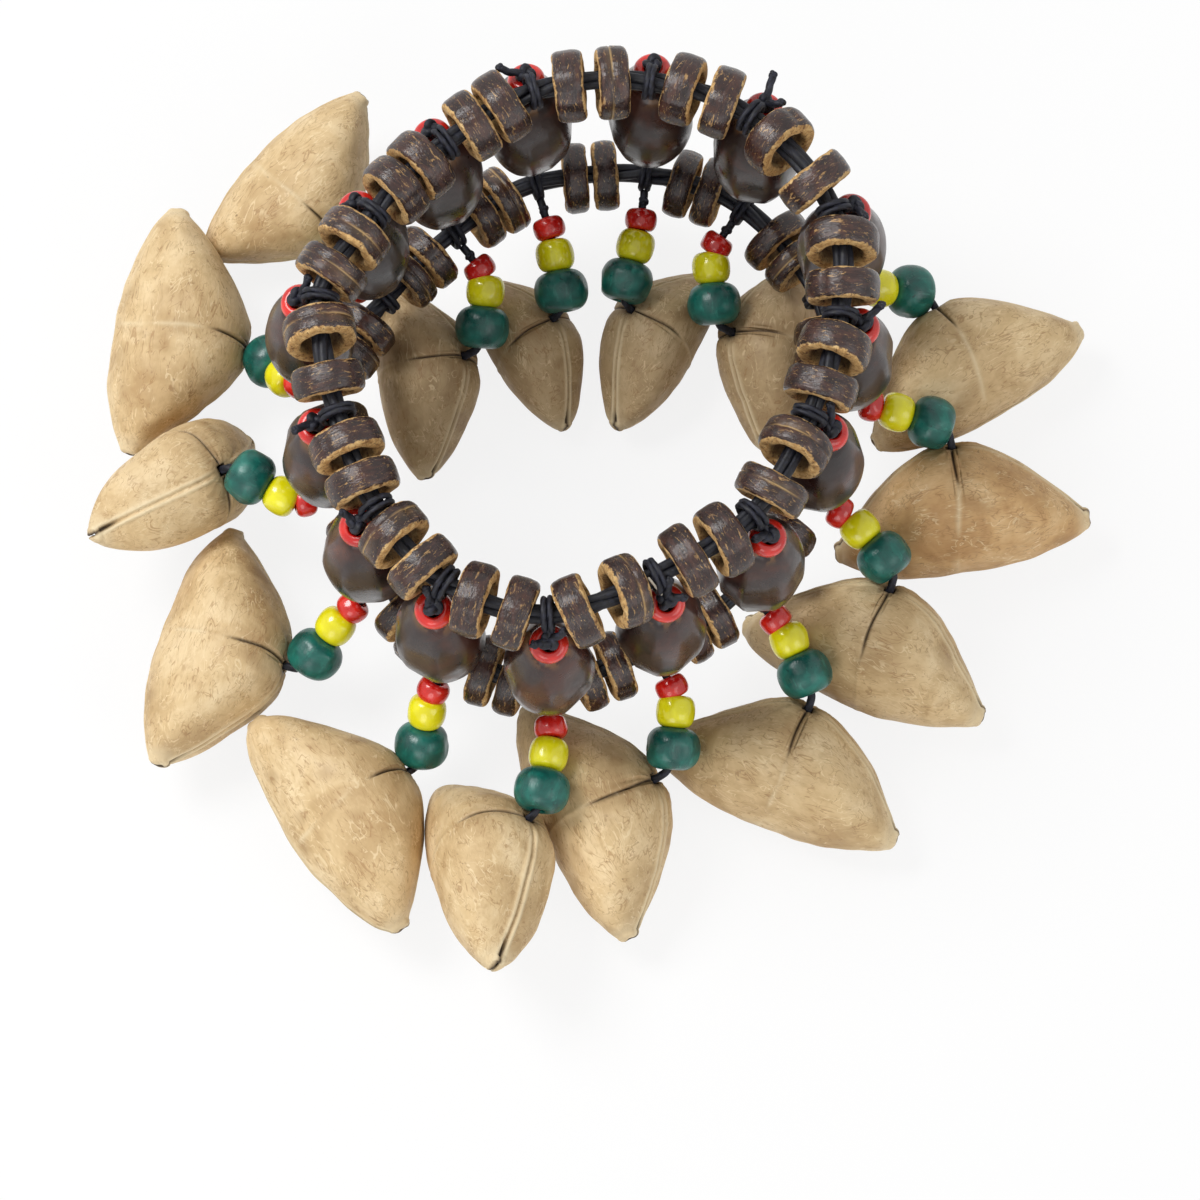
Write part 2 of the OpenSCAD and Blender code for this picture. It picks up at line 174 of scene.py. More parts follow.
def nut_roof(t):
    """Depth of the seam edge below the cord hole at row t, which runs from -1 to 1, tip to tip."""
    return ROOF_SHARE * NUT_DEPTH * roof_arc(t) / roof_arc(1)


def nut_base(t):
    """Depth of the slit edge at row t."""
    return NUT_DEPTH * (1 - BASE_BOW * np.abs(t) ** BASE_POWER)


def nut_half_thick(t):
    swell = np.clip(1 - np.abs(t) ** FACE_POWER, 0, 1) ** FACE_ROUND
    return NUT_TIP + (NUT_THICK / 2 - NUT_TIP) * swell


def nut_section(t, s, inset_wall, groove=0.0):
    """Points of the shell at rows t and columns s, where s runs from lip over apex to lip."""
    half_depth = (nut_base(t) - nut_roof(t)) / 2
    thick = nut_half_thick(t) - np.where(np.abs(t) < GROOVE_HALF, groove, 0.0)
    inset = np.minimum(inset_wall, WALL_SHARE * np.minimum(half_depth, thick))
    lip = np.degrees(np.arcsin(NUT_SLIT / 2 / ((1 - FACE_SKEW) * thick)))
    f = np.radians(lip[:, None] + s[None, :] * (360 - 2 * lip[:, None]))
    x = ((nut_roof(t) + nut_base(t)) / 2)[:, None] + (half_depth - inset)[:, None] * np.cos(f)
    y = np.repeat(t[:, None] * NUT_LEN / 2, len(s), 1)
    z = (thick - inset)[:, None] * np.sin(f) * (1 - FACE_SKEW * np.cos(f))
    return np.stack([x, y, z], -1), f


def turned_low(k):
    """Lowest point of the part's own shell when it is turned as tie k's, from its cord hole."""
    half = np.array([NUT_HOLE / NUT_LEN, 0.12, 0.26, 0.48, 0.7, 0.88, 1])
    t = np.concatenate([-half[::-1], half])
    s = np.array([0, 0.09, 0.18, 0.27, 0.36, 0.44, 0.48])
    p, _ = nut_section(t, np.concatenate([s, 1 - s[::-1]]), 0, GROOVE_DEEP)
    pitch, roll = NUT_PITCH[k - 1], NUT_ROLL[k - 1]
    z = p[..., 0] * sind(pitch) + (p[..., 1] * sind(roll) + p[..., 2] * cosd(roll)) * cosd(pitch)
    return NUT_SIZE[k - 1] * z.min()


class Drop:
    """The places along one drop, as the part lays it."""

    def __init__(self, k):
        i = k - 1
        self.nut_dir = from_angles(NUT_PITCH[i], NUT_HEADING[i])
        self.apex_z = TABLE_GAP - turned_low(k)
        turn = 1 - cosd(DROP_HEADING[i] - NUT_HEADING[i]) * cosd(NUT_PITCH[i])
        neck = NECK_MIN + NECK_TURN * turn
        neck_z = self.apex_z - neck * self.nut_dir[2]
        rise = math.degrees(math.asin((neck_z - LOWER_Z) / (BEND_X + NECK_X)))
        self.first_dir = from_angles(rise, heading_of(DROP_SIDE[i] * tie_normal(k)))
        self.second_dir = from_angles(rise, DROP_HEADING[i])
        self.start = at_z(tie_point(k), LOWER_Z)
        self.apex = self.second(NECK_X) + neck * self.nut_dir

    def first(self, x):
        return self.start + x * self.first_dir

    def second(self, x):
        return self.first(BEND_X) + x * self.second_dir


DROPS = {k: Drop(k) for k in TIES}


# Meshes


class Shape:
    """Vertices, faces and named vertex values of one piece, in millimetres."""

    def __init__(self):
        self.verts, self.faces, self.values, self.count = [], [], {}, 0

    def add(self, verts, faces, **values):
        verts = np.asarray(verts, float).reshape(-1, 3)
        for name in set(self.values) | set(values):
            rows = self.values.setdefault(name, [np.zeros((self.count,) + np.shape(values.get(name, 0))[1:])])
            rows.append(np.asarray(values[name], float) if name in values else np.zeros(len(verts)))
        self.verts.append(verts)
        self.faces += [tuple(int(j) + self.count for j in f) for f in faces]
        self.count += len(verts)

    def build(self, name, material, place=None):
        mesh = bpy.data.meshes.new(name)
        mesh.from_pydata((np.concatenate(self.verts) * MM).tolist(), [], self.faces)
        for key, rows in self.values.items():
            data = np.concatenate(rows)
            if data.ndim == 2:
                mesh.attributes.new(key, "FLOAT_VECTOR", "POINT").data.foreach_set("vector", data.ravel())
            else:
                mesh.attributes.new(key, "FLOAT", "POINT").data.foreach_set("value", data)
        bm = bmesh.new()
        bm.from_mesh(mesh)
        bmesh.ops.recalc_face_normals(bm, faces=bm.faces)
        bm.to_mesh(mesh)
        bm.free()
        mesh.polygons.foreach_set("use_smooth", [True] * len(mesh.polygons))
        mesh.materials.append(material)
        obj = bpy.data.objects.new(name, mesh)
        bpy.context.scene.collection.objects.link(obj)
        if place is not None:
            obj.matrix_world = place
        return obj


def grid_faces(rows, cols, wrap_rows=False, wrap_cols=False):
    """Four-sided faces of a grid of points, closed round either way."""
    faces = []
    for i in range(rows if wrap_rows else rows - 1):
        for j in range(cols if wrap_cols else cols - 1):
            a, b = i * cols + j, i * cols + (j + 1) % cols
            c, d = ((i + 1) % rows) * cols + j, ((i + 1) % rows) * cols + (j + 1) % cols
            faces.append((a, b, d, c))
    return faces


def smooth_path(points, step):
    """Rounds the corners of a polyline and spaces its points evenly."""
    p = np.asarray(points, float)
    for _ in range(3):
        q = [p[0]]
        for a, b in zip(p[:-1], p[1:]):
            q += [0.75 * a + 0.25 * b, 0.25 * a + 0.75 * b]
        p = np.array(q + [p[-1]])
    run = np.concatenate([[0], np.cumsum(np.linalg.norm(np.diff(p, axis=0), axis=1))])
    at = np.linspace(0, run[-1], max(4, int(run[-1] / step)))
    return np.stack([np.interp(at, run, p[:, i]) for i in range(3)], 1)


def frames_along(path, closed):
    """Directions along a path, with two cross directions that turn with it and don't twist."""
    if closed:
        ahead = np.roll(path, -1, 0) - np.roll(path, 1, 0)
    else:
        ahead = np.gradient(path, axis=0)
    ahead /= np.linalg.norm(ahead, axis=1)[:, None]
    side = np.cross(ahead[0], [0.0, 0.0, 1.0] if abs(ahead[0][2]) < 0.9 else [1.0, 0.0, 0.0])
    sides = []
    for d in ahead:
        side = side - d * side.dot(d)
        side = side / np.linalg.norm(side)
        sides.append(side)
    sides = np.array(sides)
    return ahead, sides, np.cross(ahead, sides)


def add_rope(shape, path, radius, plies=3, pitch=1.9, lobe=0.16, sides=15, closed=False, tone=0.0):
    """Twisted cord: plies wind round each other as lobes of the tube's section."""
    path = np.asarray(path, float)
    _, u, v = frames_along(path, closed)
    run = np.concatenate([[0], np.cumsum(np.linalg.norm(np.diff(path, axis=0), axis=1))])
    a = np.linspace(0, 2 * math.pi, sides, endpoint=False)
    wave = np.abs(np.cos(plies / 2 * (a[None, :] - 2 * math.pi * run[:, None] / pitch / plies)))
    r = np.broadcast_to(radius, len(path))[:, None] * (1 - lobe + lobe * wave)
    round_u = np.cos(a)[None, :, None] * u[:, None]
    round_v = np.sin(a)[None, :, None] * v[:, None]
    ring = path[:, None] + r[..., None] * (round_u + round_v)
    faces = grid_faces(len(path), sides, closed, True)
    n = len(path) * sides
    if not closed:
        faces += [tuple(range(sides - 1, -1, -1)), tuple(range(n - sides, n))]
    # groove marks the hollows between plies, which the cord material paints in shade.
    shape.add(ring.reshape(-1, 3), faces, groove=(1 - wave).ravel(), tone=np.full(n, tone))


def knot_path(centre, size, turn, lean):
    """A tight overhand knot, as a closed three-lobed curve."""
    a = np.linspace(0, 2 * math.pi, 90, endpoint=False)
    p = np.stack([np.sin(a) + 2 * np.sin(2 * a), np.cos(a) - 2 * np.cos(2 * a), -1.6 * np.sin(3 * a)], 1)
    turned = Matrix.Rotation(turn, 3, "Z") @ Matrix.Rotation(lean, 3, "X")
    return np.asarray(centre) + size / 3 * p @ np.array(turned).T


def add_knot(shape, rng, centre, size, lean, radius, plies, pitch, lobe, sides):
    """A knot of cord, turned and leaned at random."""
    path = knot_path(centre, size, rng.uniform(0, ROUND), rng.uniform(-lean, lean))
    add_rope(shape, path, radius, plies, pitch, lobe, sides, True)


def lathe(profile, steps):
    """Points of a profile of (radius, height) turned round Z, with its closed faces."""
    a = np.linspace(0, 2 * math.pi, steps, endpoint=False)
    r, z = profile[:, 0], profile[:, 1]
    p = np.stack([r[:, None] * np.cos(a), r[:, None] * np.sin(a), np.repeat(z[:, None], steps, 1)], -1)
    return p, a, grid_faces(len(profile), steps, True, True)


def bead_profile(d, h, bore, fullness):
    """Closed profile of a bead: bulging side, rolled edges at the bore, straight bore."""
    inner = bore / 2 + 0.22
    f = np.linspace(-math.pi / 2, math.pi / 2, 23)
    r = inner + (d / 2 - inner) * np.abs(np.cos(f)) ** fullness
    z = h / 2 * np.sign(np.sin(f)) * np.abs(np.sin(f)) ** 0.9
    side = np.stack([r, z], 1)
    wall, top = bore / 2, h / 2
    hole = [
        [wall + 0.05, top - 0.08],
        [wall, top - 0.3],
        [wall, -top + 0.3],
        [wall + 0.05, -top + 0.08],
    ]
    return np.concatenate([side, hole])


def turn_matrix(z_axis, spin=0.0):
    """Rotation that carries Z to z_axis, spun round it."""
    z = Vector(unit(z_axis))
    return Vector((0, 0, 1)).rotation_difference(z).to_matrix() @ Matrix.Rotation(spin, 3, "Z")


def waves(p, rng, count, short, long):
    """Smooth random field from a few plane waves, about -1 to 1."""
    total = np.zeros(p.shape[:-1])
    for _ in range(count):
        d = unit(rng.normal(size=3))
        total += np.sin(2 * math.pi * (p @ d) / rng.uniform(short, long) + rng.uniform(0, ROUND))
    return total / math.sqrt(count)


def bell(x, width):
    """1 at zero, falling off smoothly over a width."""
    return np.exp(-((x / width) ** 2))


def ramp(a, b, x):
    """Smooth step from 0 at a to 1 at b."""
    u = np.clip((x - a) / (b - a), 0, 1)
    return u * u * (3 - 2 * u)


# Materials


def rgb(r, g, b):
    """A display colour of 0 to 255 as the linear colour that a shader takes."""
    linear = [((c / 255 + 0.055) / 1.055) ** 2.4 if c > 10 else c / 255 / 12.92 for c in (r, g, b)]
    return (*linear, 1.0)


class Nodes:
    """Short way to write one material's nodes."""

    def __init__(self, name):
        self.material = bpy.data.materials.new(name)
        self.material.use_nodes = True
        self.tree = self.material.node_tree
        self.shader = self.tree.nodes["Principled BSDF"]

    def make(self, kind, **settings):
        node = self.tree.nodes.new("ShaderNode" + kind)
        for key, value in settings.items():
            setattr(node, key, value)
        return node

    def feed(self, socket, value):
        if isinstance(value, bpy.types.NodeSocket):
            self.tree.links.new(value, socket)
        else:
            socket.default_value = value

    def place(self, offset=(0, 0, 0), stretch=(1, 1, 1), source=None):
        if source is None:
            source = self.make("TexCoord").outputs["Object"]
        m = self.make("Mapping")
        self.feed(m.inputs["Vector"], source)
        m.inputs["Location"].default_value = offset
        m.inputs["Scale"].default_value = stretch
        return m.outputs["Vector"]

    def noise(self, at, scale, detail=3.0, rough=0.55, bend=0.0):
        n = self.make("TexNoise")
        self.feed(n.inputs["Vector"], at)
        n.inputs["Scale"].default_value = scale
        n.inputs["Detail"].default_value = detail
        n.inputs["Roughness"].default_value = rough
        n.inputs["Distortion"].default_value = bend
        return n.outputs["Fac"]

    def value(self, name):
        return self.make("Attribute", attribute_name=name).outputs["Fac"]

    def vector(self, name):
        return self.make("Attribute", attribute_name=name).outputs["Vector"]

    def span(self, x, low, high, to_low=0.0, to_high=1.0):
        n = self.make("MapRange", interpolation_type="SMOOTHSTEP")
        keys = ("Value", "From Min", "From Max", "To Min", "To Max")
        for key, value in zip(keys, (x, low, high, to_low, to_high)):
            self.feed(n.inputs[key], value)
        return n.outputs["Result"]

    def math(self, kind, a, b):
        n = self.make("Math", operation=kind)
        self.feed(n.inputs[0], a)
        self.feed(n.inputs[1], b)
        return n.outputs[0]

    def mix(self, fac, a, b, kind="MIX"):
        n = self.make("Mix", data_type="RGBA", blend_type=kind)
        self.feed(n.inputs[0], fac)
        self.feed(n.inputs[6], a)
        self.feed(n.inputs[7], b)
        return n.outputs[2]

    def steps(self, x, *stops):
        n = self.make("ValToRGB")
        self.feed(n.inputs["Fac"], x)
        ramp_stops = n.color_ramp.elements
        while len(ramp_stops) < len(stops):
            ramp_stops.new(0.5)
        for stop, (at, colour) in zip(ramp_stops, stops):
            stop.position = at
            stop.color = colour
        return n.outputs["Color"]

    def bump(self, height, strength, distance):
        n = self.make("Bump")
        self.feed(n.inputs["Height"], height)
        n.inputs["Strength"].default_value = strength
        n.inputs["Distance"].default_value = distance
        self.feed(self.shader.inputs["Normal"], n.outputs["Normal"])

    def finish(self, colour, rough, specular=0.5, coat=0.0, coat_rough=0.1):
        self.feed(self.shader.inputs["Base Color"], colour)
        self.feed(self.shader.inputs["Roughness"], rough)
        self.shader.inputs["Specular IOR Level"].default_value = specular
        self.shader.inputs["Coat Weight"].default_value = coat
        self.shader.inputs["Coat Roughness"].default_value = coat_rough
        return self.material


def nut_material(k, dark, mid, light):
    n = Nodes(f"nutshell_{k}")
    at = n.place(offset=(0.37 * k, 0.53 * k, 0.29 * k))
    fibre_at = n.place(offset=(0.37 * k, 0.53 * k, 0.29 * k), stretch=(1, 0.35, 1))
    body = n.steps(n.noise(at, 150, 4, 0.6, 0.4), (0.3, dark), (0.5, mid), (0.7, light))
    body = n.mix(n.span(n.noise(fibre_at, 1000, 5, 0.75, 0.5), 0.48, 0.68, 0, 0.45), body, dark)
    body = n.mix(n.span(n.noise(at, 75, 5, 0.65, 1.2), 0.57, 0.76, 0, 0.4), body, rgb(164, 130, 88))
    # Felted strands: thin bands where a bent noise crosses its middle, broken up by a second noise
    strands = (
        (420, rgb(158, 118, 74), 0.55),
        (640, rgb(146, 108, 68), 0.5),
        (480, rgb(236, 214, 172), 0.6),
    )
    for scale, tone, share in strands:
        spread = n.math("ABSOLUTE", n.math("SUBTRACT", n.noise(fibre_at, scale, 2, 0.6, 1.6), 0.5), 0)
        strand = n.span(spread, 0.006, 0.022, 1, 0)
        broken = n.span(n.noise(at, 0.9 * scale, 2, 0.5), 0.42, 0.6, 0, share)
        body = n.mix(n.math("MULTIPLY", strand, broken), body, tone)
    body = n.mix(n.span(n.noise(at, 1500, 2, 0.5), 0.74, 0.78, 0, 0.5), body, rgb(96, 68, 42))
    # brown is painted shade in valleys and folds plus stain patches, pale is painted highlight on raised
    # edges, dark is painted shade in creases, seam, tip openings, cord hole and inside the shell.
    body = n.mix(n.value("brown"), body, rgb(140, 104, 64))
    body = n.mix(n.value("pale"), body, rgb(234, 216, 178))
    body = n.mix(n.value("dark"), body, rgb(44, 31, 20))
    height = n.math("ADD", n.noise(fibre_at, 900, 5, 0.65), n.math("MULTIPLY", n.noise(at, 260, 3), 1.4))
    n.bump(height, 0.5, 0.00025)
    return n.finish(body, n.span(n.noise(at, 320, 3), 0.3, 0.7, 0.5, 0.68), 0.38)


def coconut_material():
    n = Nodes("coconut_shell")
    at = n.place(source=n.vector("loc"))
    round_at = n.place(source=n.vector("unrolled"))
    skin_tones = (0.3, rgb(24, 13, 12)), (0.5, rgb(46, 27, 24)), (0.72, rgb(78, 48, 38))
    skin = n.steps(n.noise(round_at, 0.5, 4, 0.65, 0.5), *skin_tones)
    skin = n.mix(n.span(n.noise(at, 0.35, 2), 0.52, 0.7, 0, 0.5), skin, rgb(74, 38, 24))
    skin = n.mix(n.span(n.noise(round_at, 0.75, 5, 0.7, 0.8), 0.58, 0.66, 0, 0.85), skin, rgb(176, 138, 88))
    skin = n.mix(n.span(n.noise(round_at, 1.9, 4, 0.7, 0.6), 0.62, 0.7, 0, 0.8), skin, rgb(204, 168, 112))
    face_tones = (
        (0.28, rgb(92, 56, 32)),
        (0.42, rgb(178, 136, 82)),
        (0.58, rgb(214, 178, 120)),
        (0.78, rgb(236, 210, 160)),
    )
    face = n.steps(n.noise(at, 1.4, 5, 0.7, 0.7), *face_tones)
    face = n.mix(n.span(n.noise(at, 1.7, 4, 0.65, 0.6), 0.56, 0.66, 0, 0.8), face, rgb(82, 42, 24))
    face = n.mix(n.span(n.noise(at, 3.6, 3, 0.6), 0.6, 0.68, 0, 0.8), face, rgb(66, 34, 22))
    # Painted shade: the bore and its inner edge are darkened.
    face = n.mix(n.value("bore"), face, rgb(52, 34, 24))
    uneven = n.math("ADD", n.noise(at, 1.6, 4, 0.65), n.noise(at, 0.5, 2))
    edge = n.math("ADD", n.value("rim"), n.math("MULTIPLY", n.math("SUBTRACT", uneven, 1.0), 0.9))
    is_rim = n.span(edge, 0.38, 0.56)
    colour = n.mix(is_rim, face, skin)
    colour = n.mix(n.value("layer"), colour, rgb(198, 162, 104))
    n.bump(n.math("ADD", n.noise(round_at, 1.6, 4, 0.6), n.noise(at, 1.2, 3)), 0.4, 0.00022)
    return n.finish(colour, n.span(is_rim, 0, 1, 0.8, 0.22), 0.5)


def barrel_material(k):
    n = Nodes(f"lacquered_wood_{k}")
    at = n.place(offset=(0.41 * k, 0.17 * k, 0.23 * k))
    grain_at = n.place(offset=(0.41 * k, 0.17 * k, 0.23 * k), stretch=(1, 1, 0.22))
    wood_tones = (
        (0.3, rgb(24, 13, 12)),
        (0.5, rgb(42, 23, 20)),
        (0.66, rgb(72, 35, 23)),
        (0.82, rgb(104, 54, 31)),
    )
    wood = n.steps(n.noise(at, 110, 4, 0.6, 0.8), *wood_tones)
    wood = n.mix(n.span(n.noise(grain_at, 900, 4, 0.65), 0.5, 0.75, 0, 0.5), wood, rgb(24, 14, 12))
    wood = n.mix(n.value("worn"), wood, rgb(134, 98, 62))
    n.bump(n.math("ADD", n.noise(grain_at, 700, 5, 0.65), n.noise(at, 220, 3)), 0.3, 0.0002)
    return n.finish(wood, n.span(n.noise(at, 300, 4, 0.6), 0.3, 0.7, 0.22, 0.42), 0.4, 0.15, 0.12)


def glass_material(name, dark, light):
    n = Nodes(name)
    at = n.place()
    colour = n.mix(n.span(n.noise(at, 420, 3, 0.5, 0.6), 0.35, 0.68), dark, light)
    n.bump(n.noise(at, 500, 2), 0.08, 0.0002)
    return n.finish(colour, n.span(n.noise(at, 700, 3), 0.35, 0.7, 0.16, 0.3), 0.5, 0.3, 0.08)


def painted_material():
    n = Nodes("green_painted_wood")
    at = n.place()
    streak_at = n.place(stretch=(1, 1, 0.35))
    paint_tones = (0.3, rgb(5, 62, 57)), (0.52, rgb(12, 92, 82)), (0.75, rgb(30, 124, 110))
    paint = n.steps(n.noise(at, 330, 4, 0.6, 0.6), *paint_tones)
    # Lighter streaks: partly worn paint and partly painted sheen.
    paint = n.mix(n.span(n.noise(streak_at, 900, 5, 0.7), 0.56, 0.74, 0, 0.6), paint, rgb(62, 148, 132))
    paint = n.mix(n.span(n.noise(at, 1400, 2), 0.68, 0.74, 0, 0.7), paint, rgb(4, 40, 38))
    n.bump(n.math("ADD", n.noise(streak_at, 800, 4, 0.65), n.noise(at, 300, 2)), 0.4, 0.0002)
    return n.finish(paint, n.span(n.noise(at, 600, 3), 0.3, 0.7, 0.26, 0.46), 0.5)


def cord_material(name, dark, light, rough):
    n = Nodes(name)
    at = n.place()
    colour = n.mix(n.span(n.noise(at, 1800, 4, 0.7), 0.35, 0.7), dark, light)
    # Painted shade in the grooves between the plies.
    colour = n.mix(n.span(n.value("groove"), 0.35, 1.0, 0, 0.8), colour, rgb(8, 8, 11))
    colour = n.mix(n.value("tone"), colour, rgb(205, 196, 180))
    n.bump(n.noise(at, 3200, 4, 0.7), 0.4, 0.00008)
    return n.finish(colour, n.span(n.noise(at, 900, 3), 0.3, 0.7, rough - 0.1, rough + 0.1), 0.35)


# Nutshells


def nut_place(k):
    """Where tie k's nutshell lies, from its cord hole."""
    return (
        Matrix.Translation(Vector(DROPS[k].apex * MM))
        @ Matrix.Rotation(math.radians(NUT_HEADING[k - 1]), 4, "Z")
        @ Matrix.Rotation(math.radians(-NUT_PITCH[k - 1]), 4, "Y")
        @ Matrix.Rotation(math.radians(NUT_ROLL[k - 1]), 4, "X")
    )


# Dark, middle and light colour of each tone of shell, and the tone at each tie
NUT_TONES = {
    "plain": (rgb(184, 152, 107), rgb(214, 186, 140), rgb(232, 208, 166)),
    "warm": (rgb(178, 136, 88), rgb(206, 167, 116), rgb(224, 192, 144)),
    "grey": (rgb(168, 140, 102), rgb(196, 169, 128), rgb(216, 192, 152)),
}
TONE_OF = ["grey"] * 2 + ["plain"] * 9 + ["warm", "plain"] + ["grey"] * 2


def sorted_set(*parts):
    """All values in order, each once."""
    return np.unique(np.round(np.concatenate([np.asarray(p, float) for p in parts]), 5))


# Half the cord hole, in rows and in columns
HOLE_T, HOLE_S = 0.05, 0.0146


def round_tips(t, f, p, inside):
    """Adds rows past each tip that draw the section in to a short mouth."""
    caps = ((0.94, 0.9, 0.3), (0.8, 0.66, 0.55), (0.6, 0.36, 0.68), (0.46, 0.16, 0.66))
    for end in (0, -1):
        middle = p[end].mean(0)
        way = np.sign(middle[1])
        rows, inner = [], []
        for deep, thin, out in caps:
            rows.append(middle + (p[end] - middle) * [deep, 1, thin] + [0, way * out, 0])
            pull = [0.8 * deep, 1, 0.7 * thin]
            inner.append(middle + (inside[end] - middle) * pull + [0, way * (out - 0.35), 0])
        more_t, more_f = np.full(len(caps), way), np.repeat(f[end][None], len(caps), 0)
        more = [more_t, more_f, np.array(rows), np.array(inner)]
        if end == 0:
            t, f, p, inside = [np.concatenate([m[::-1], a]) for m, a in zip(more, (t, f, p, inside))]
        else:
            t, f, p, inside = [np.concatenate([a, m]) for m, a in zip(more, (t, f, p, inside))]
    return t, f, p, inside


def nut_shape(k):
    """One hollow nutshell with its relief, stains, painted shade and painted highlights, the cord hole at the
    origin.
    """
    rng = np.random.default_rng(NUT_SEED + k)
    size = NUT_SIZE[k - 1]
    fine = np.array([0, 0.005, 0.01, 0.016, 0.024, 0.036, HOLE_T, 0.07])
    tips = np.array([0.95, 0.965, 0.98, 0.99])
    t = sorted_set(np.linspace(-1, 1, 57), fine, -fine, tips, -tips)
    near = np.array([0, 0.003, 0.006, 0.01, HOLE_S, 0.02, 0.028, 0.038])
    ends = np.array([0.004, 0.01, 0.018])
    s = sorted_set(np.linspace(0, 1, 57), 0.5 + near, 0.5 - near, ends, 1 - ends)
    p, f = nut_section(t, s, 0)
    inside, _ = nut_section(t, s, NUT_WALL)
    t, f, p, inside = round_tips(t, f, p, inside)
    n = np.cross(np.gradient(p, axis=0), np.gradient(p, axis=1))
    n /= np.linalg.norm(n, axis=-1)[..., None] + 1e-9
    past = np.clip((np.abs(p[..., 1]) - NUT_LEN / 2) / 0.6, 0, 1)
    mid_x = np.repeat(((nut_roof(t) + nut_base(t)) / 2)[:, None], len(s), 1)
    middle = np.stack([mid_x, p[..., 1] * 0.9, 0 * p[..., 2]], -1)
    n *= np.sign((n * (p - middle)).sum(-1))[..., None]

    tt = np.abs(t)[:, None] + 0 * s[None]
    around = np.abs(np.degrees(f) - 180) / 180
    upper = np.sin(f) > 0
    from_apex = np.linalg.norm(p, axis=-1)
    roof_side = 1 - ramp(0.3, 0.42, around)

    # Double ridge along the seam from the apex to the tips, which opens at each tip
    bend = 0.35 * np.sin(3.1 * p[..., 1] / (NUT_LEN / 2) + rng.uniform(0, ROUND)) * tt
    across = p[..., 2] - bend
    seam_on = ramp(0.07, 0.22, tt) * roof_side
    ridge = bell(np.abs(across) - 0.46, 0.27) * seam_on
    seam = bell(across, 0.15) * seam_on
    open_from = np.where(p[..., 1] > 0, rng.uniform(0.82, 0.93), rng.uniform(0.82, 0.93))
    mouth = ramp(0, 1, (tt - open_from) / (1 - open_from)) * bell(across, 0.32) * roof_side
    mouth = np.maximum(mouth * (1 - past), ramp(0.75, 1, past) * bell(across, 0.3))

    # Crease from the cord hole across each face, going on as a faint raised line
    wander = np.where(upper, rng.uniform(-1.6, 1.6), rng.uniform(-1.6, 1.6))
    wave = np.where(upper, rng.uniform(0, ROUND), rng.uniform(0, ROUND))
    off = p[..., 1] - wander * around - 0.35 * np.sin(7 * around + wave) * ramp(0, 0.3, around)
    reach = np.where(upper, rng.uniform(0.2, 0.36), rng.uniform(0.2, 0.36))
    crease = bell(off, 0.17) * (1 - ramp(0, 1, (around - reach) / 0.1)) * ramp(0.02, 0.05, around)
    valley = bell(off, 1.5) * (1 - ramp(0.15, 0.62, around))
    line = bell(off, 0.3) * ramp(0, 1, (around - reach) / 0.15) * (1 - ramp(0.8, 0.98, around))

    # Wrinkles that run out from the cord hole, a turned lip along the slit, and uneven faces
    swirl = np.arctan2(p[..., 1], p[..., 2])
    fold = np.sin(15 * swirl + 2.2 * np.sin(3 * swirl + wave)) + 0.6 * np.sin(31 * swirl + wander)
    wrinkle = fold * np.exp(-from_apex / 4.5) * ramp(0.9, 2.2, from_apex)
    edge = np.minimum(s, 1 - s)[None] * 44 + 0 * tt
    lip = bell(edge, 0.6)
    d = (
        0.2 * ridge - 0.16 * seam - 0.9 * mouth - 0.42 * crease - 0.3 * valley + 0.1 * line
        + 0.11 * wrinkle + 0.14 * lip - 0.1 * bell(edge - 1.5, 0.7)
        + 0.16 * waves(p, rng, 6, 9, 22) + 0.045 * waves(p, rng, 9, 2.2, 5)
    )
    d *= 1 - 0.6 * bell(1 - tt, 0.05)
    skin = p + n * (d * (1 - past))[..., None]
    skin[..., 1] += 0.05 * past * np.sin(3 * f + wave) * np.sign(p[..., 1])

    smudge = waves(p, rng, 5, 4, 9)
    # Painted shade: darker along the seam groove, round the cord hole, in the creases and in the openings at
    # the tips.
    seam_and_hole_shade = 0.22 * seam * ramp(-0.4, 0.6, smudge) + 0.75 * bell(from_apex, 1.25)
    dark = np.clip(0.95 * crease + 1.1 * mouth + seam_and_hole_shade, 0, 0.96)
    # Painted highlight: paler on the raised seam ridges, the faint raised line, the lip along the slit and
    # the tips.
    faint = 0.5 * line * ramp(-0.6, 0.4, smudge)
    pale = (0.45 + 0.5 * tt) * ridge + faint + 0.45 * ramp(0.9, 1, tt) + 0.5 * lip
    pale = np.clip(pale, 0, 0.9) * (1 - dark)
    # Painted shade in the wrinkle troughs near the cord hole and in the broad valley by the crease, with
    # random brown stain patches besides.
    fold_shade = 0.25 * bell(from_apex, 3.2) * (fold < -0.2)
    brown = np.clip(0.22 * valley + 0.35 * ramp(0.9, 1.7, smudge) + fold_shade, 0, 0.7)

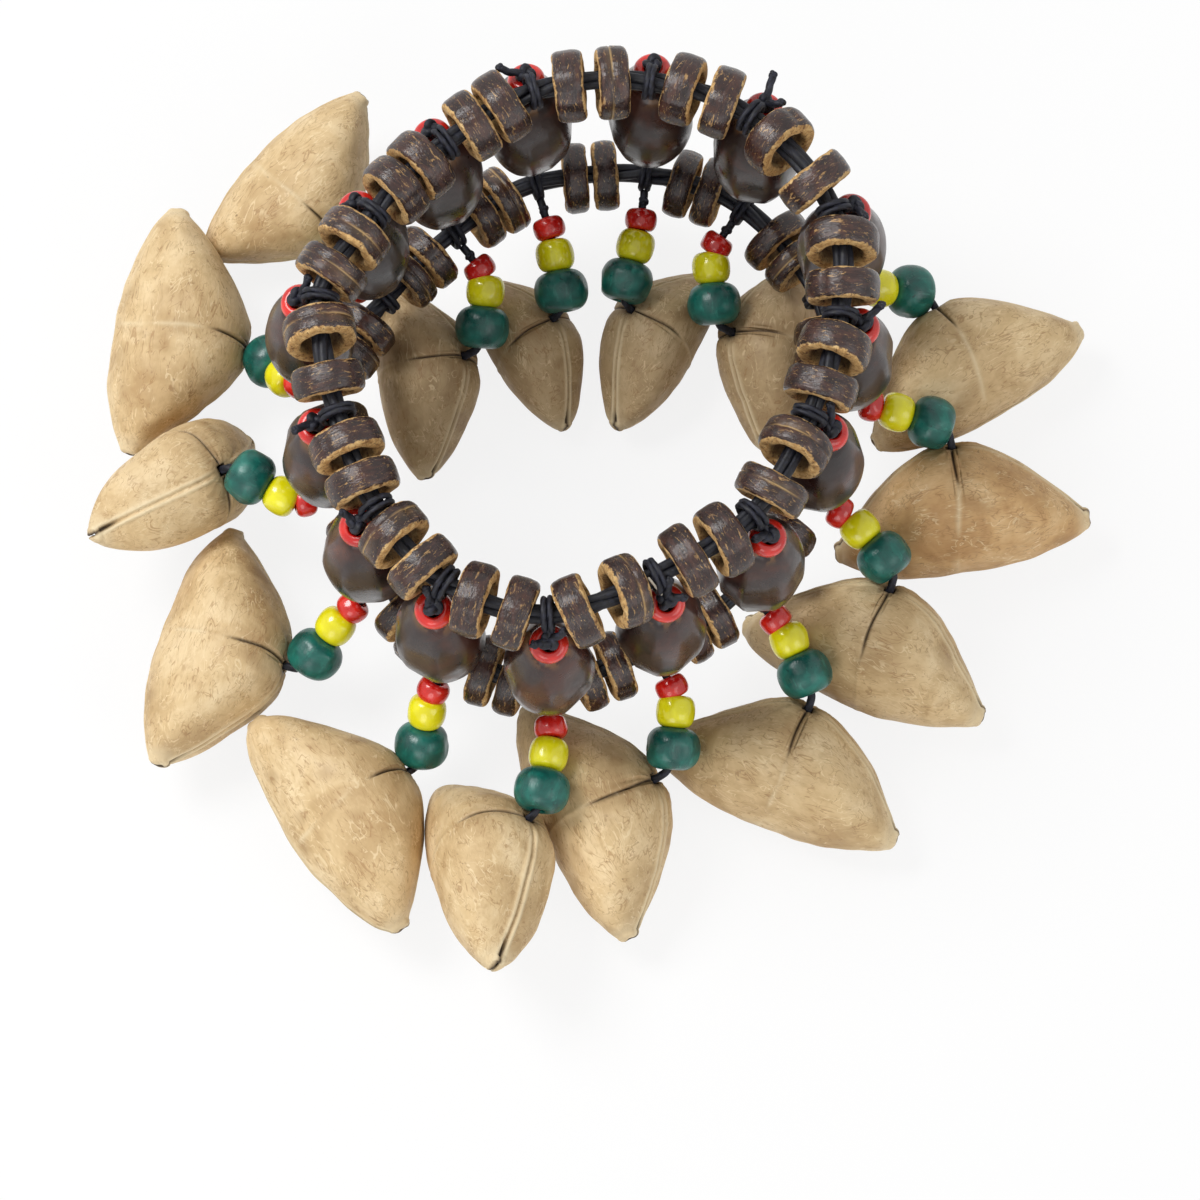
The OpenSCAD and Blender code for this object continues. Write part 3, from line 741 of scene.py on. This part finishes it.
    # Outer and inner skin, joined along the slit, the tips and the cord hole
    rows, cols = len(t), len(s)
    in_hole = (np.abs(t) <= HOLE_T + 1e-6)[:, None] & (np.abs(s - 0.5) <= HOLE_S + 1e-6)[None]
    cells = in_hole[:-1, :-1] & in_hole[1:, :-1] & in_hole[:-1, 1:] & in_hole[1:, 1:]
    count = rows * cols
    faces = []
    for i in range(rows - 1):
        for j in range(cols - 1):
            if not cells[i, j]:
                a, b, c, e = i * cols + j, i * cols + j + 1, (i + 1) * cols + j + 1, (i + 1) * cols + j
                faces += [(a, b, c, e), (a + count, e + count, c + count, b + count)]
    border = [(i * cols, (i + 1) * cols) for i in range(rows - 1)]
    border += [((i + 1) * cols - 1, (i + 2) * cols - 1) for i in range(rows - 1)]
    border += [(j, j + 1) for j in range(cols - 1)]
    border += [((rows - 1) * cols + j, (rows - 1) * cols + j + 1) for j in range(cols - 1)]
    i0, i1 = np.where(in_hole.any(1))[0][[0, -1]]
    j0, j1 = np.where(in_hole.any(0))[0][[0, -1]]
    border += [(i0 * cols + j, i0 * cols + j + 1) for j in range(j0, j1)]
    border += [(i1 * cols + j, i1 * cols + j + 1) for j in range(j0, j1)]
    border += [(i * cols + j0, (i + 1) * cols + j0) for i in range(i0, i1)]
    border += [(i * cols + j1, (i + 1) * cols + j1) for i in range(i0, i1)]
    faces += [(a, b, b + count, a + count) for a, b in border]
    used = sorted({j for face in faces for j in face})
    new = {j: i for i, j in enumerate(used)}
    verts = np.concatenate([skin.reshape(-1, 3), inside.reshape(-1, 3)])[used] * size
    faces = [[new[j] for j in face] for face in faces]

    def both(outside, within):
        return np.concatenate([outside.ravel(), np.full(count, within)])[used]

    shape = Shape()
    # The inner skin gets fixed dark and brown values: painted shade inside the hollow shell.
    shape.add(verts, faces, dark=both(dark, 0.55), pale=both(pale, 0), brown=both(brown, 0.5))
    return shape


for k in TIES:
    nut = nut_shape(k).build(f"shell_{k}", nut_material(k, *NUT_TONES[TONE_OF[k - 1]]), nut_place(k))
    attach(nut, f"drop_{k}")
    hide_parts(f"nutshell_{k}")


# Coconut discs


def ripple(a, *terms):
    """Sum of waves round a circle, from the strength, count and start of each."""
    return sum(size * np.sin(count * a + start) for size, count, start in terms)


def add_disc(shape, rng, place, turn, thickness):
    """One sawn coconut ring: dark skin on the rim, pale faces, some with a split layer."""
    thick = thickness / 2
    out, hole = DISC_R, DISC_HOLE_R
    layered = rng.random() < 0.35
    groove_z = rng.uniform(-0.7, 0.7)
    side = [
        (hole + 0.05, 0.8),
        (hole + 0.16, thick - 0.18),
        (hole + 0.36, thick - 0.04),
        (hole + 0.75, thick),
        (hole + 1.2, thick - 0.03),
        (out - 0.6, thick - 0.03),
        (out - 0.34, thick - 0.12),
        (out - 0.15, thick - 0.32),
        (out - 0.02, thick - 0.65),
    ]
    crown = [(out + 0.07, groove_z + step) for step in (-0.2, -0.08, 0.02, 0.14)]
    profile = np.array([(r, -z) for r, z in side] + crown + side[::-1] + [(hole, 0.0)])
    p, a, faces = lathe(profile, 56)
    r, z = profile[:, 0][:, None], profile[:, 1][:, None]
    rim = ramp(out - 0.5, out - 0.25, r) * (1 - 0.5 * ramp(thick - 0.6, thick - 0.2, np.abs(z))) + 0 * a[None]
    # bore marks the hole wall and its inner edge, which get painted shade.
    bore = 1 - ramp(hole, hole + 0.22, r) + 0 * a[None]
    face = (1 - rim) * (1 - bore)
    lacquer = np.clip(rim + rng.uniform(-0.22, 0.2) * (rim > 0.05), 0, 1)
    ph = rng.uniform(0, ROUND, 8)
    # Uneven hand-cut outline, chips at the hole, worn flats and sawn faces that aren't quite parallel
    lobes = ripple(a, (0.07, 2, ph[0]), (0.05, 3, ph[1]), (0.035, 7, ph[2])) - 0.1
    grow = 1 + (lobes[None] * np.where(r > 3, 1, 0.5)) / DISC_R
    chip = np.clip(ripple(a, (1, 2, ph[3]), (0.8, 5, ph[4]), (0.5, 11, ph[5])) - 0.75, 0, 1.2)
    near_hole = bell(r - hole, 0.45)
    grow = grow + 0.16 * chip[None] * near_hole
    nick = np.clip(ripple(a, (1, 3, ph[6]), (0.9, 8, ph[7]), (0.5, 17, ph[1])) - 1.35, 0, 1)
    grow = grow - 0.05 * nick[None] * rim
    if layered:
        grow = grow - 0.035 * bell(z - groove_z, 0.12) * rim
    x, y = p[..., 0] * grow, p[..., 1] * grow
    tilt = rng.uniform(0.0, 0.03)
    zz = p[..., 2] * (1 - tilt + tilt * np.cos(a + ph[2])[None])
    zz = zz - np.sign(p[..., 2]) * (0.05 + 0.05 * np.sin(6 * a + ph[3] + 2 * r)) * face
    zz = zz - np.sign(p[..., 2]) * 0.22 * chip[None] * near_hole * (np.abs(z) > 1)
    local = np.stack([x, y, zz], -1).reshape(-1, 3)
    spot = rng.uniform(-300, 300, 3)
    wide = 0.9 * DISC_R
    unrolled = [wide * np.cos(a)[None] + 0 * r, wide * np.sin(a)[None] + 0 * r, 3.2 * z + 0 * a[None]]
    unrolled = np.stack(unrolled, -1).reshape(-1, 3)
    layer = (bell(z - groove_z, 0.1) * rim * (0.5 + 0.5 * np.sin(3 * a + ph[5])[None]) * layered).ravel()
    world = local @ np.array(turn).T + place
    shape.add(
        world,
        faces,
        rim=lacquer.ravel(),
        bore=0.75 * bore.ravel(),
        layer=0.8 * layer,
        loc=local + spot,
        unrolled=unrolled + spot,
    )


def disc_set(name, z, thick, first, second, seed, material):
    """Two discs in every gap between ties, each leaning by its own angle."""
    shape = Shape()
    rng = np.random.default_rng(seed)
    for k in TIES:
        a, b = first[k - 1], second[k - 1]
        spread = thick / 2 / cosd(max(abs(a), abs(b))) + DISC_R * sind(abs(a - b) / 2) + DISC_GAP / 2
        spread /= np.linalg.norm(tie_point(k + 1) - tie_point(k))
        for u, lean in ((0.5 - spread, a), (0.5 + spread, b)):
            hang = DISC_HOLE_R - ELASTIC_R - LOOP_GAP - thick / 2 * sind(abs(lean))
            turn = (
                Matrix.Rotation(math.radians(heading_of(route_dir(k, 0.5))), 3, "Z")
                @ Matrix.Rotation(math.radians(90 + lean), 3, "Y")
                @ Matrix.Rotation(rng.uniform(0, ROUND), 3, "Z")
            )
            add_disc(shape, rng, at_z(route(k, u), z - hang), turn, thick)
    discs = shape.build(name + "_cut", material)
    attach(discs, "band")
    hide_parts(name)


coconut = coconut_material()
disc_set("upper_discs", UPPER_Z, UPPER_THICK, LEAN_FIRST, LEAN_SECOND, UPPER_DISC_SEED, coconut)
upright = [0] * len(TIES)
disc_set("lower_discs", LOWER_Z, LOWER_THICK, upright, upright, LOWER_DISC_SEED, coconut)


# Barrels


def barrel_shape(k):
    """One turned barrel with its bore along Z."""
    rng = np.random.default_rng(BARREL_SEED + k)
    half = BARREL_LEN / 2
    bulge = BARREL_R - BARREL_END_R
    arc_r = (half**2 + bulge**2) / (2 * bulge)
    z = half * np.sin(np.linspace(-math.pi / 2, math.pi / 2, 45))
    r = BARREL_R - arc_r + np.sqrt(arc_r**2 - z**2)
    r = r - 0.25 * bell(half - np.abs(z), 0.35)
    top = [[1.5, half], [1.05, half - 0.02], [BARREL_BORE_R, half - 0.25]]
    ends = top + [[edge, -height] for edge, height in top[::-1]]
    profile = np.concatenate([np.stack([r, z], 1), ends])
    p, a, faces = lathe(profile, 64)
    outer = np.arange(len(profile)) < len(z)
    # Hand-worked flats: each cuts a little off the round, and leans along the barrel
    flat = np.ones((len(profile), len(a)))
    for _ in range(7):
        at, cut, lean = rng.uniform(0, ROUND), rng.uniform(0.93, 0.975), rng.uniform(-0.03, 0.03)
        c = np.cos(a[None] - at - lean * profile[:, 1][:, None])
        flat = np.minimum(flat, cut / np.clip(c, 0.5, None))
    flat = np.where(outer[:, None], flat - 0.01 - 0.008 * waves(p, rng, 6, 2.5, 7), 1.0)
    p[..., 0] *= flat
    p[..., 1] *= flat
    worn = np.clip(0.75 * bell(half - np.abs(p[..., 2]), 0.8) * (waves(p, rng, 5, 1.5, 4) > 0.1), 0, 0.75)
    shape = Shape()
    shape.add(p.reshape(-1, 3), faces, worn=worn.ravel())
    return shape


for k in TIES:
    axis = tie_point(k) + LOOP_R * tie_normal(k)
    centre = at_z(axis, (BARREL_Z0 + BARREL_Z1) / 2)
    place = Matrix.Translation(Vector(centre * MM))
    barrel = barrel_shape(k).build(f"turned_barrel_{k}", barrel_material(k), place)
    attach(barrel, f"barrel_{k}")
    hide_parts(f"barrel_{k}")


# Beads

red_glass = glass_material("red_glass", rgb(196, 22, 18), rgb(226, 44, 34))
yellow_glass = glass_material("yellow_glass", rgb(228, 218, 8), rgb(245, 238, 30))
green_paint = painted_material()


def bead_points(rng, d, h, bore, fullness, flats, uneven):
    """A bead with its bore along Z: slightly off round, with flats where wood was worked."""
    p, a, faces = lathe(bead_profile(d, h, bore, fullness), 40)
    side = ramp(bore / 2 + 0.3, d / 2, np.hypot(p[..., 0], p[..., 1]))
    round_off = np.ones_like(side)
    for _ in range(flats):
        n = unit(np.append(unit(rng.normal(size=2)), rng.uniform(-0.5, 0.5)))
        reach = p @ n / (d / 2)
        limit = rng.uniform(0.92, 0.97)
        round_off = np.minimum(round_off, np.where(reach > limit, limit / np.maximum(reach, 0.01), 1))
    scale = 1 - side * (1 - round_off) - side * uneven * (1 + waves(p, rng, 4, d * 0.6, d * 1.6)) / 2
    p[..., 0] *= scale
    p[..., 1] *= scale
    p[..., 2] *= 1 - 0.5 * uneven * (1 + np.sin(a + rng.uniform(0, ROUND)))[None]
    return p.reshape(-1, 3), faces


# Upper red beads: diameter, length, bore, fullness, flats and unevenness, then how they sit
UPPER_RED = (RED_D + 0.8, RED_H + 0.2, 1.9, 0.8, 0, 0.02)
UPPER_RED_OUT, UPPER_RED_UP = 0.6, 0.2
UPPER_RED_LEAN, UPPER_RED_STRAY = 0.22, 0.06
upper_red = Shape()
for k in TIES:
    rng = np.random.default_rng(UPPER_RED_SEED + k)
    verts, faces = bead_points(rng, *UPPER_RED)
    axis = UPPER_RED_LEAN * tie_normal(k) + UPPER_RED_STRAY * rng.normal(size=2)
    lean = np.array(turn_matrix(np.append(axis, 1)))
    centre = at_z(tie_point(k) + (LOOP_R + UPPER_RED_OUT) * tie_normal(k), UPPER_RED_Z + UPPER_RED_UP)
    upper_red.add(verts @ lean.T + centre, faces)
upper_red = upper_red.build("upper_red_rings", red_glass)
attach(upper_red, "band")
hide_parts("upper_red_beads")


SLIDE_MOST, SLIDE_STEP, SLIDE_NEAR = 1.5, 0.1, 1.12


def slide_to_shell(drop, d, h):
    """How far along its cord the green bead goes before it rests on a shell."""
    start = NECK_X - h / 2
    for go in np.arange(0, SLIDE_MOST, SLIDE_STEP):
        off = SHELL_POINTS - drop.second(start + go)
        axial = off @ drop.second_dir
        radial = np.sqrt(np.maximum((off**2).sum(1) - axial**2, 0))
        if np.min((axial / (h / 2)) ** 2 + (radial / (d / 2)) ** 2) < SLIDE_NEAR:
            break
    return start + max(go - SLIDE_STEP, 0)


# Each bead of a drop: diameter, length, fullness, flats, unevenness, material and slot
DROP_BEADS = {
    "drop_red": (RED_D + 0.3, RED_H + 0.5, 0.8, 1, 0.03, red_glass, "red_glass"),
    "drop_yellow": (YELLOW_D + 0.4, YELLOW_H + 1.0, 0.78, 1, 0.02, yellow_glass, "beads"),
    "drop_green": (GREEN_D + 0.3, GREEN_H + 0.6, 0.82, 6, 0.03, green_paint, "beads"),
}
DROP_BORE = 1.5
BEAD_SINK, BEND_SHIFT = 0.1, 0.2


def put_bead(name, k, centre, axis, rng):
    """Places one bead of tie k's drop."""
    d, h, fullness, flats, uneven, material, slot = DROP_BEADS[name]
    verts, faces = bead_points(rng, d, h, DROP_BORE, fullness, flats, uneven)
    shape = Shape()
    shape.add(verts, faces)
    place = Matrix.Translation(Vector(centre * MM)) @ turn_matrix(axis, rng.uniform(0, ROUND)).to_4x4()
    bead = shape.build(f"{name}_{k}", material, place)
    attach(bead, f"drop_{k}")
    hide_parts(f"bead_drop_{k}")


# Cords and elastic

# Points on all shells, for the green beads to rest on
SHELL_POINTS = []
for k in TIES:
    outer, _ = nut_section(np.linspace(-1, 1, 61), np.linspace(0, 1, 61), 0)
    place = np.array(nut_place(k))
    SHELL_POINTS.append(NUT_SIZE[k - 1] * outer.reshape(-1, 3) @ place[:3, :3].T + place[:3, 3] / MM)
SHELL_POINTS = np.concatenate(SHELL_POINTS)

waxed = cord_material("waxed_cord", rgb(14, 15, 22), rgb(40, 42, 56), 0.58)
stretch = cord_material("elastic_strand", rgb(13, 14, 20), rgb(36, 38, 50), 0.5)

for k in TIES:
    drop = DROPS[k]
    rng = np.random.default_rng(DROP_SEED + k)
    red_h, yellow_h, green_h = [DROP_BEADS[name][1] for name in DROP_BEADS]
    green_x = slide_to_shell(drop, DROP_BEADS["drop_green"][0], green_h)
    yellow_x = green_x - (green_h + yellow_h) / 2 + BEAD_SINK
    red_x = BEND_X - red_h / 2 + min(BEND_SHIFT, max(0, yellow_x - yellow_h / 2))
    put_bead("drop_red", k, drop.first(red_x), drop.first_dir, rng)
    put_bead("drop_yellow", k, drop.second(yellow_x), drop.second_dir, rng)
    put_bead("drop_green", k, drop.second(green_x), drop.second_dir, rng)
    stop = drop.apex + STOP_X * drop.nut_dir
    path = smooth_path([drop.first(LOOP_R), drop.first(BEND_X), drop.second(NECK_X), drop.apex, stop], 0.22)
    cord = Shape()
    add_rope(cord, path, CORD_R)
    add_knot(cord, rng, drop.first(HITCH_X), 0.42, 0.5, 0.3, 2, 1.2, 0.2, 10)
    add_knot(cord, rng, stop, 0.75, 0.5, 0.46, 3, 1.5, 0.18, 12)
    cord = cord.build(f"drop_cord_{k}", waxed)
    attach(cord, f"drop_{k}")
    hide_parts(f"bead_drop_{k}")

# Cut tails of each tie: way round the tie, lift and length of each
TAILS = [
    [(60, 25, 3.2)],
    [(100, 15, 3.4)],
    [(75, 30, 2.6)],
    [(-110, 40, 2.6)],
    [(20, 30, 3.0)],
    [(-60, 30, 2.2)],
    [(-120, 45, 2.4)],
    [(110, 50, 2.6), (-70, 30, 1.8)],
    [(140, 55, 2.8), (60, 20, 1.9)],
    [(-100, 40, 2.4)],
    [(120, 45, 2.8)],
    [(40, 40, 3.0)],
    [(-80, 30, 2.6)],
    [(20, 20, 3.4), (-60, 35, 2.4)],
    [],
]
WRAP_R, WRAP_SIDE, WRAP_TIGHT = 0.36, 0.36, 0.14
RISE_R, LINK_R, TAIL_R = 0.48, 0.36, 0.48
RISE_MID_Z = 30
WISP_TIE = 9
ties = Shape()
for k in TIES:
    rng = np.random.default_rng(TIE_SEED + k)
    out, along = np.append(tie_normal(k), 0), np.append(tie_tangent(k), 0)
    up = np.array([0, 0, 1.0])
    foot = at_z(tie_point(k), 0)

    def spot(x, y, z):
        return foot + x * out + y * along + z * up

    # Two wraps round each elastic, side by side, and the cord between them through bead and barrel
    for z in (UPPER_Z, LOWER_Z):
        for side in (-WRAP_SIDE, WRAP_SIDE):
            a = np.linspace(0, 2 * math.pi, 72, endpoint=False) + rng.uniform(0, 1)
            r = LOOP_R - WRAP_TIGHT + 0.05 * np.sin(2 * a + rng.uniform(0, ROUND))
            skew = side + 0.12 * np.sin(a + rng.uniform(0, ROUND))
            wrap = [spot(q * math.cos(b), w, z + q * math.sin(b)) for q, b, w in zip(r, a, skew)]
            add_rope(ties, np.array(wrap), WRAP_R, closed=True)
    rise = [spot(LOOP_R, 0, LOWER_Z), spot(LOOP_R, 0, RISE_MID_Z), spot(LOOP_R, 0, KNOT_Z)]
    add_rope(ties, smooth_path(rise, 0.4), RISE_R)
    # The knot in the red bead's hole, with its cut tails
    knot = spot(KNOT_X + 0.1, 0, KNOT_Z - 0.3)
    add_knot(ties, rng, knot, 0.76, 0.35, 0.52, 3, 1.5, 0.2, 12)
    link = [knot, spot(KNOT_X - 0.8, 0.1, KNOT_Z + 0.6), spot(0.4, 0.3, UPPER_Z + 1.5)]
    add_rope(ties, smooth_path(link, 0.2), LINK_R)
    for way, lift, length in TAILS[k - 1]:
        lean = [cosd(way) * cosd(lift), sind(way) * cosd(lift), sind(lift)]
        bow = rng.uniform(-0.4, 0.4, 3)
        root = np.array([KNOT_X, 0, KNOT_Z - 0.2])
        bends = ((0, 0), (0.35, 0.3), (0.7, 1), (1, 0.6))
        tail = [root + length * q * np.array(lean) + w * bow for q, w in bends]
        add_rope(ties, smooth_path([spot(*q) for q in tail], 0.18), TAIL_R, 3, 1.5, 0.24, 12)
        end_knot = knot_path(spot(*tail[-1]), 0.28, rng.uniform(0, ROUND), 0.4)
        add_rope(ties, end_knot, 0.3, 2, 0.8, 0.2, 9, True)
    if k == WISP_TIE:
        wisp = [
            spot(KNOT_X - 0.5, -0.3, KNOT_Z + 0.6),
            spot(KNOT_X - 1.3, -0.8, UPPER_Z + 1.5),
            spot(KNOT_X - 2.2, -1.1, UPPER_Z + 2.2),
        ]
        add_rope(ties, smooth_path(wisp, 0.15), 0.15, 2, 1.0, 0.1, 8, tone=0.9)
ties = ties.build("tied_cords", waxed)
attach(ties, "band")
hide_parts("tie_cords")


STRANDS, STRAND_R, STRAND_OUT = 4, 0.56, 0.6


def elastic_bundle(name, z, seed):
    """Four strands that lie side by side and wander round each other."""
    rng = np.random.default_rng(seed)
    us = np.linspace(0, 1, 14, endpoint=False)
    mid = np.array([at_z(route(k, u), z) for k in TIES for u in us])
    ahead = np.array([at_z(route_dir(k, u), 0) for k in TIES for u in us])
    side = np.stack([ahead[:, 1], -ahead[:, 0], 0 * ahead[:, 0]], 1)
    go = np.linspace(0, 2 * math.pi, len(mid), endpoint=False)
    twist = ripple(go, (1.2, 3, rng.uniform(0, ROUND)), (0.7, 7, rng.uniform(0, ROUND)))
    shape = Shape()
    for i in range(STRANDS):
        a = 2 * math.pi / STRANDS * i + twist + 0.25 * np.sin(11 * go + rng.uniform(0, ROUND))
        reach = STRAND_OUT + 0.05 * np.sin(13 * go + rng.uniform(0, ROUND))
        up = np.array([0, 0, 1.0])
        path = mid + reach[:, None] * (np.cos(a)[:, None] * side + np.sin(a)[:, None] * up)
        add_rope(shape, path, STRAND_R, 7, 60.0, 0.12, 14, True)
    bundle = shape.build(name + "_strands", stretch)
    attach(bundle, "band")
    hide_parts(name)


elastic_bundle("upper_elastic", UPPER_Z, UPPER_ELASTIC_SEED)
elastic_bundle("lower_elastic", LOWER_Z, LOWER_ELASTIC_SEED)


# Floor, light and camera

FLOOR_HALF, FLOOR_Z, FLOOR_GLOW = 4, -0.0006, 0.85
WHITE = (1, 1, 1, 1)
SKY_LIGHT, SKY_SEEN = 0.45, 1.0
MIDDLE = (0, 0, 0.02)
LENS, SENSOR = 148.5, 36
CAMERA_TILT, CAMERA_FAR = 72, 0.55
AIM_RIGHT, AIM_DOWN = 0.00444, 0.0505

scene = bpy.context.scene
scene.view_settings.view_transform = "Standard"

# The floor is lit by the lamps but shows mostly as plain white, and so does the sky
floor = Nodes("floor")
shine = floor.make("Emission")
shine.inputs["Color"].default_value = WHITE
blend = floor.make("MixShader")
path_kind = floor.make("LightPath").outputs
seen = floor.math("ADD", path_kind["Is Camera Ray"], path_kind["Is Glossy Ray"])
seen = floor.math("ADD", seen, path_kind["Is Transmission Ray"])
floor.finish((0.86, 0.86, 0.86, 1), 0.9, 0.1)
floor.feed(blend.inputs[0], floor.math("MULTIPLY", floor.math("MINIMUM", seen, 1.0), FLOOR_GLOW))
floor.feed(blend.inputs[1], floor.shader.outputs[0])
floor.feed(blend.inputs[2], shine.outputs[0])
floor.feed(floor.tree.nodes["Material Output"].inputs["Surface"], blend.outputs[0])
plane = bpy.data.meshes.new("floor")
square = ((-1, -1), (1, -1), (1, 1), (-1, 1))
corners = [(x * FLOOR_HALF, y * FLOOR_HALF, FLOOR_Z) for x, y in square]
plane.from_pydata(corners, [], [(0, 1, 2, 3)])
plane.materials.append(floor.material)
ground = bpy.data.objects.new("floor", plane)
scene.collection.objects.link(ground)

world = bpy.data.worlds.new("studio")
scene.world = world
world.use_nodes = True
tree = world.node_tree
back = tree.nodes["Background"]
back.inputs["Color"].default_value = WHITE
light_path = tree.nodes.new("ShaderNodeLightPath").outputs
seen = tree.nodes.new("ShaderNodeMapRange")
total = light_path["Is Camera Ray"]
for kind in ("Is Glossy Ray", "Is Transmission Ray"):
    add = tree.nodes.new("ShaderNodeMath")
    tree.links.new(total, add.inputs[0])
    tree.links.new(light_path[kind], add.inputs[1])
    total = add.outputs[0]
tree.links.new(total, seen.inputs["Value"])
seen.inputs["To Min"].default_value = SKY_LIGHT
seen.inputs["To Max"].default_value = SKY_SEEN
tree.links.new(seen.outputs["Result"], back.inputs["Strength"])


def lamp(name, spot, aim, size, power):
    data = bpy.data.lights.new(name, "AREA")
    data.shape = "DISK"
    data.size = size
    data.energy = power
    obj = bpy.data.objects.new(name, data)
    obj.location = spot
    obj.rotation_euler = (Vector(aim) - Vector(spot)).to_track_quat("-Z", "Y").to_euler()
    scene.collection.objects.link(obj)


lamp("key", (-0.34, 0.16, 0.55), MIDDLE, 0.3, 3.0)
lamp("fill", (0.5, -0.35, 0.5), MIDDLE, 0.5, 1.1)
lamp("front", (-0.2, -0.6, 0.35), MIDDLE, 0.4, 1.0)

# The camera looks down at the middle of the upper ring from the photograph's height
ring_top = Vector((-0.6, -1.24, 45.0)) * MM
tilt = math.radians(CAMERA_TILT)
forward = Vector((0, math.cos(tilt), -math.sin(tilt)))
upward = Vector((0, math.sin(tilt), math.cos(tilt)))
camera = bpy.data.objects.new("camera", bpy.data.cameras.new("camera"))
camera.data.lens = LENS
camera.data.sensor_width = SENSOR
camera.data.clip_start = 0.01
camera.location = ring_top - CAMERA_FAR * forward
look = (forward + AIM_RIGHT * Vector((1, 0, 0)) - AIM_DOWN * upward).normalized()
right = look.cross(upward).normalized()
turn = Matrix((right, right.cross(look), -look)).transposed().to_4x4()
camera.matrix_world = Matrix.Translation(camera.location) @ turn
scene.collection.objects.link(camera)
scene.camera = camera
